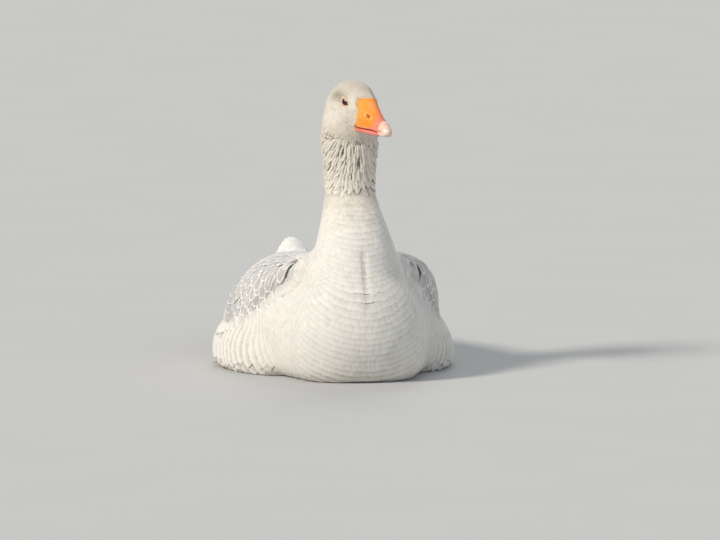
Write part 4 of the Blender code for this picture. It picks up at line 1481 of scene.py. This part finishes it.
def nail_paint(local):
    """Colours of the nail: pink at its root and pale at its tip."""
    x = local[:, 0]
    root, tip = 0.90 * smooth(67, 59, x), 0.5 * smooth(72, 79, x)
    colour = layered(NAIL_PALE, (PINK * (1.05, 1.25, 1.25), root), (NAIL_TIP, tip))
    return colour * (1 + 0.03 * ripple(local, 0.9, 0.4))[:, None]


def lower_paint(local):
    """Colours of the lower bill: orange at the corner of the mouth, then pink, with painted shade along its
    top under the upper bill.
    """
    x, z = local[:, 0], local[:, 2]
    colour = layered(
        PINK * (1.02, 0.72, 0.62),
        (PINK, smooth(25, 50, x)),
        (ORANGE, 0.55 * smooth(30, 14, x)),
        # painted shade under the upper bill's edge
        (SHADED_RED, 0.8 * smooth(-28.4, -27.2, z)),
    )
    return colour * (1 + 0.05 * ripple(local, 0.7, 1.4))[:, None]


def bill_piece(name, points, faces, colours, material, covered):
    piece = new_object(name, from_head(points), faces[:, ::-1])
    paint(piece, colours)
    put_on(piece, material, (covered,))


def make_bill():
    skin_look = bill_material("bill skin", 0.36, 0.30)
    points, faces = shell(arch_rings(BILL, *UPPER_GRID, UPPER_HOLLOW))
    points = sculpt_bill(points, faces)
    bill_piece("bill_upper_skin", points, faces, upper_paint(points), skin_look, "bill_upper")

    points, faces = shell(arch_rings(NAIL, *NAIL_GRID, NAIL_HOLLOW))
    points = points - point_normals(points, faces) * NAIL_INSET
    horn_look = bill_material("bill nail", 0.28, 0.12)
    bill_piece("bill_nail_horn", points, faces, nail_paint(points), horn_look, "bill_nail")

    points, faces = shell(lower_rings(*LOWER_GRID))
    bill_piece("bill_lower_skin", points, faces, lower_paint(points), skin_look, "bill_lower")


def eye_paint(local):
    """Pupil, iris and dark rim, by the angle from where the eye looks."""
    angle = np.arccos(np.clip(local[:, 2], -1, 1))
    spin = np.arctan2(local[:, 1], local[:, 0])
    streak = 0.5 + 0.5 * np.sin(spin * 37 + 3 * np.sin(spin * 5))
    iris = layered(IRIS_DARK, (IRIS_LIGHT, streak), (IRIS_RIM, smooth(0.78, 0.95, angle)))
    return blend_colours(PUPIL, iris, smooth(0.43, 0.49, angle))


def make_eye(centre, axes, covered, material):
    """An eyeball with a slight bulge where it looks."""
    turns = np.linspace(0, 2 * math.pi, EYE_TURNS, endpoint=False)
    around = np.outer(np.cos(turns), axes[0]) + np.outer(np.sin(turns), axes[1])
    rings = []
    for angle in np.linspace(0.03, math.pi - 0.03, EYE_RINGS):
        reach = EYE_RADIUS * (1 + 0.035 * ring(angle, 0, 0.55))
        rings.append(centre + (axes[2] * math.cos(angle) + around * math.sin(angle)) * reach)
    points, faces = shell(np.array(rings))
    thing = new_object(covered + "_ball", points, faces)
    paint(thing, eye_paint(unit(points - centre) @ axes.T))
    put_on(thing, material, (covered,))


# ---------------------------------------------------------------- materials

class Look:
    """A material in the making. Its methods make nodes and give their outputs."""

    def __init__(self, name):
        self.material = bpy.data.materials.new(name)
        self.material.use_nodes = True
        self.tree = self.material.node_tree
        self.places = self.node("ShaderNodeTexCoord").outputs["Object"]

    def fill(self, socket, value):
        """Gives a socket a number, a colour, three numbers, or the output of another node."""
        if isinstance(value, (int, float)):
            socket.default_value = value
        elif isinstance(value, tuple):
            socket.default_value = (*value, 1.0)[:len(socket.default_value)]
        else:
            self.tree.links.new(value, socket)

    def fill_all(self, made, values):
        for key, value in values.items():
            self.fill(made.inputs[key], value)

    def node(self, kind, values=None, **settings):
        made = self.tree.nodes.new(kind)
        for key, value in settings.items():
            setattr(made, key, value)
        self.fill_all(made, values or {})
        return made

    def math(self, operation, *values):
        return self.node("ShaderNodeMath", dict(enumerate(values)), operation=operation).outputs[0]

    def combined(self, *values):
        return self.node("ShaderNodeCombineXYZ", dict(enumerate(values))).outputs[0]

    def ramp(self, value, low, high, to_low=0.0, to_high=1.0):
        """A value led from one range over into another, with an S-curve between their ends."""
        values = {"Value": value, "From Min": low, "From Max": high, "To Min": to_low, "To Max": to_high}
        return self.node("ShaderNodeMapRange", values, interpolation_type="SMOOTHSTEP").outputs["Result"]

    def mixed(self, blend, share, first, second):
        values = {0: share, 6: first, 7: second}      # sockets 6 and 7 are the colours A and B
        return self.node("ShaderNodeMix", values, data_type="RGBA", blend_type=blend).outputs[2]

    def noise(self, scale, detail=3.0, roughness=0.55, vector=None):
        values = {"Scale": scale, "Detail": detail, "Roughness": roughness, "Vector": vector or self.places}
        return self.node("ShaderNodeTexNoise", values).outputs["Fac"]

    def cells(self, scale):
        values = {"Scale": scale, "Vector": self.places}
        return self.node("ShaderNodeTexVoronoi", values, feature="DISTANCE_TO_EDGE").outputs["Distance"]

    def marking(self, output):
        return self.node("ShaderNodeAttribute", attribute_name="Marking").outputs[output]

    def toned(self, tone):
        """The painted markings, made darker or paler by tone."""
        return self.mixed("MULTIPLY", 1.0, self.marking("Color"), self.combined(tone, tone, tone))

    def bump(self, height, strength, distance):
        values = {"Strength": strength, "Distance": distance, "Height": height}
        return self.node("ShaderNodeBump", values).outputs[0]

    def finish(self, values):
        self.fill_all(self.tree.nodes["Principled BSDF"], values)
        return self.material


def feather_material(name, rim_colour, side_rim, tip_rim):
    """Feather vanes: barbs that run out from the shaft, a pale soft edge, and darker roots, partly the bases'
    own tone and partly painted shade where the row above lies over them.
    """
    look = Look(name)
    vane = look.node("ShaderNodeUVMap", uv_map="Vane").outputs[0]
    beside, along, _ = look.node("ShaderNodeSeparateXYZ", {0: vane}).outputs
    across = look.math("ABSOLUTE", look.math("MULTIPLY_ADD", beside, 2.0, -1.0))

    barb_row = look.math("MULTIPLY", look.math("MULTIPLY_ADD", across, -0.55, along), 26.0)
    shift = look.math("MULTIPLY", look.noise(60.0, 1.0), 9.0)
    mapped = look.combined(barb_row, look.math("MULTIPLY", beside, 1.6), shift)
    barbs = look.noise(1.0, 2.0, 0.6, mapped)

    edge = look.ramp(look.math("MULTIPLY_ADD", barbs, 0.04, along), *tip_rim)
    if side_rim:
        edge_side = look.ramp(look.math("MULTIPLY_ADD", barbs, 0.08, across), *side_rim)
        edge = look.math("MAXIMUM", edge_side, edge)
    edge = look.math("MULTIPLY", edge, look.marking("Alpha"))
    # darker towards the root: partly painted shade below the tips of the row above
    root = look.ramp(along, 0.40, 0.90, 0.90, 1.0)
    streak = look.ramp(barbs, 0.30, 0.72, 0.90, 1.04)
    patch = look.ramp(look.noise(120.0, 5.0, 0.7), 0.3, 0.7, 0.93, 1.03)
    body = look.toned(look.math("MULTIPLY", look.math("MULTIPLY", root, streak), patch))

    shaft = look.ramp(across, 0.0, 0.10, 1.0, 0.0)
    return look.finish({
        "Base Color": look.mixed("MIX", edge, body, rim_colour),
        "Normal": look.bump(look.math("MULTIPLY_ADD", shaft, 0.35, barbs), 0.35, 0.0004),
        "Roughness": 0.72,
        "Specular IOR Level": 0.25,
        "Sheen Weight": 0.2,
        "Sheen Roughness": 0.5,
    })


def skin_material():
    """Down between the feathers: the same markings, a little deeper, with a woolly bump."""
    look = Look("skin and down")
    fluff = look.noise(900.0, 4.0, 0.65)
    patch = look.ramp(look.noise(70.0), 0.3, 0.7, 0.93, 1.04)
    return look.finish({
        "Base Color": look.toned(look.math("MULTIPLY", look.ramp(fluff, 0.25, 0.75, 0.82, 1.05), patch)),
        "Normal": look.bump(fluff, 0.5, 0.0005),
        "Roughness": 0.85,
        "Specular IOR Level": 0.2,
    })


def bill_material(name, roughness, coat):
    """Smooth waxy bill skin with fine wrinkles and pores."""
    look = Look(name)
    mottle = look.noise(220.0, 4.0, 0.6)
    pores = look.math("MULTIPLY", look.noise(1500.0, 3.0, 0.6), 0.5)
    wrinkle = look.ramp(look.cells(420.0), 0.0, 0.22)
    return look.finish({
        "Base Color": look.toned(look.ramp(mottle, 0.3, 0.7, 0.90, 1.06)),
        "Normal": look.bump(look.math("MULTIPLY_ADD", wrinkle, 0.35, pores), 0.22, 0.0003),
        "Roughness": look.ramp(mottle, 0.3, 0.7, roughness - 0.06, roughness + 0.10),
        "Subsurface Weight": 0.12,
        "Subsurface Radius": (1.0, 0.35, 0.2),
        "Subsurface Scale": 0.0015,
        "Coat Weight": coat,
        "Coat Roughness": 0.25,
    })


def eye_material():
    look = Look("eye")
    return look.finish({
        "Base Color": look.toned(look.ramp(look.noise(2600.0), 0.3, 0.7, 0.75, 1.2)),
        "Roughness": 0.22,
        "Specular IOR Level": 0.25,
        "Coat Weight": 0.35,
        "Coat Roughness": 0.02,
    })


def leg_material():
    """Orange leg skin with small raised scales."""
    look = Look("leg skin")
    scale = look.ramp(look.cells(520.0), 0.02, 0.25)
    colour = look.mixed("MIX", scale, (0.50, 0.16, 0.05), (0.80, 0.30, 0.08))
    mottle = look.ramp(look.noise(150.0, 4.0), 0.4, 0.7, 0.0, 0.5)
    return look.finish({
        "Base Color": look.mixed("MIX", mottle, colour, (0.86, 0.42, 0.20)),
        "Normal": look.bump(scale, 0.6, 0.0004),
        "Roughness": 0.5,
    })


def floor_material():
    look = Look("pale floor")
    colour = look.mixed("MIX", look.noise(6.0, 4.0), (0.50, 0.50, 0.495), (0.53, 0.53, 0.525))
    return look.finish({"Base Color": colour, "Roughness": 0.85})


# ---------------------------------------------------------------- stage

FLOOR_REACH = 40
CAMERA_AZIMUTH, CAMERA_ELEVATION = -11.0, 6.5
CAMERA_DISTANCE = 20.0
AIM = Vector((0.0307, -0.0376, -0.0634))     # where the camera aims, from the middle of the CAD box
FRAME_WIDTH = 0.864                # width of the picture at the goose
SENSOR = 36.0
SKY = (0.86, 0.93, 1.0, 1.0)
SKY_STRENGTH = 0.40
# Name, azimuth and elevation, strength, spread in degrees, colour.
LAMPS = (
    ("key", -64, 36, 2.9, 12, (1.0, 0.94, 0.85)),
    ("fill", 45, 30, 0.35, 60, (0.85, 0.92, 1.0)),
    ("rim", 165, 40, 0.7, 30, (1.0, 0.97, 0.92)),
)


def place_aimed(name, data, azimuth, elevation):
    """Puts a lamp or camera in, aimed along two angles; gives it and the direction back from its aim."""
    a, e = math.radians(azimuth), math.radians(elevation)
    back = Vector((math.sin(a) * math.cos(e), -math.cos(a) * math.cos(e), math.sin(e)))
    thing = link(name, data)
    thing.rotation_euler = back.to_track_quat("Z", "Y").to_euler()
    return thing, back


def make_stage():
    """A pale floor, an even sky and three lamps."""
    corners = [(x * FLOOR_REACH, y * FLOOR_REACH, 0) for x, y in ((-1, -1), (1, -1), (1, 1), (-1, 1))]
    floor = new_object("floor", corners, [(0, 1, 2, 3)], False)
    floor.data.materials.append(floor_material())

    world = bpy.data.worlds.new("studio")
    bpy.context.scene.world = world
    world.use_nodes = True
    sky = world.node_tree.nodes["Background"]
    sky.inputs[0].default_value = SKY
    sky.inputs[1].default_value = SKY_STRENGTH

    for name, azimuth, elevation, strength, spread, colour in LAMPS:
        lamp = bpy.data.lights.new(name, "SUN")
        lamp.energy = strength
        lamp.angle = math.radians(spread)
        lamp.color = colour
        place_aimed(name, lamp, azimuth, elevation)


def make_camera():
    """Camera at the viewing angle of the picture, far off, so that lines stay almost parallel."""
    lens = bpy.data.cameras.new("camera")
    lens.sensor_width = SENSOR
    lens.lens = SENSOR * CAMERA_DISTANCE / FRAME_WIDTH
    lens.clip_end = 100
    camera, back = place_aimed("camera", lens, CAMERA_AZIMUTH, CAMERA_ELEVATION)
    low, high = CAD_BOX
    camera.location = (low + high) / 2 + AIM + back * CAMERA_DISTANCE
    bpy.context.scene.camera = camera
    bpy.context.scene.view_settings.view_transform = "Standard"


# ---------------------------------------------------------------- putting it together

BODY_SPANS = ((-1.0, -0.035), (-0.035, 0.035), (0.035, 1.0))   # the body's coat in three pieces, by x


def cover_with_skin():
    """The skin piece, and the surface on which the feathers grow."""
    points, faces = make_skin()
    surface = Surface(points, faces)
    skin = new_object("skin", parted(points, surface.normals), faces)
    surface.unwrap = unwrap_skin(skin)
    colours = markings(points, wing_share(points))
    # skin in the furrows painted dark: the down's colour and painted shade in the slits
    paint(skin, blend_colours(colours, DOWN_AND_SLIT_SHADE * 1.6, 0.85 * furrow_share(points)))
    put_on(skin, skin_material(), FLESH)
    return surface


def cover_with_feathers(surface):
    """All coat pieces. The random draws run on from one to the next, so their order matters."""
    # soft plumage pales over its last part to a whiter tip, partly painted shade below the tips of the row
    # above
    soft = feather_material("soft plumage", tuple(WHITE * 1.04), None, (0.62, 0.98))
    edged = feather_material("edged wing plumage", (0.88, 0.865, 0.83), (0.78, 0.90), (0.92, 0.97))
    narrow = feather_material("narrow edged plumage", (0.83, 0.82, 0.79), (0.86, 0.97), (0.965, 0.990))
    rng = np.random.default_rng(11)
    face_tufts(surface, rng).finish("coat_head", soft, "cream_plumage")
    neck_locks(surface, rng).finish("coat_neck_locks", soft, "cream_plumage")
    neck_velvet(surface, rng).finish("coat_neck", soft, "cream_plumage")
    for number, (low_x, high_x) in enumerate(BODY_SPANS, 1):
        coat = contour_feathers(surface, rng, low_x, high_x)
        coat.finish("coat_body_%d" % number, soft, "white_plumage")
    for label, side in (("left", 1), ("right", -1)):
        wing_coverts(surface, rng, side).finish("coverts_" + label, edged, "wing_plumage")
        long_wing_feathers(surface, rng, side).finish("long_feathers_" + label, narrow, "wing_plumage")
        quills = primaries(surface, rng, side)
        quills.finish("primaries_" + label, edged, "flight_feathers", ("flight_" + label,))
    tail_feathers(surface, rng).finish("tail_fan", soft, "tail_feathers", ("tail",))


def build():
    make_stage()
    make_camera()
    cover_with_feathers(cover_with_skin())
    make_bill()
    eye_look = eye_material()
    for (centre, axes), name in zip(EYES, EYE_NODES):
        make_eye(centre, axes, name, eye_look)
    leg_look = leg_material()
    for name in ("shank_left", "shank_right", "foot_left", "foot_right"):
        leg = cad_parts[name]
        leg.data.materials.clear()
        leg.data.materials.append(leg_look)


build()
bpy.context.view_layer.update()
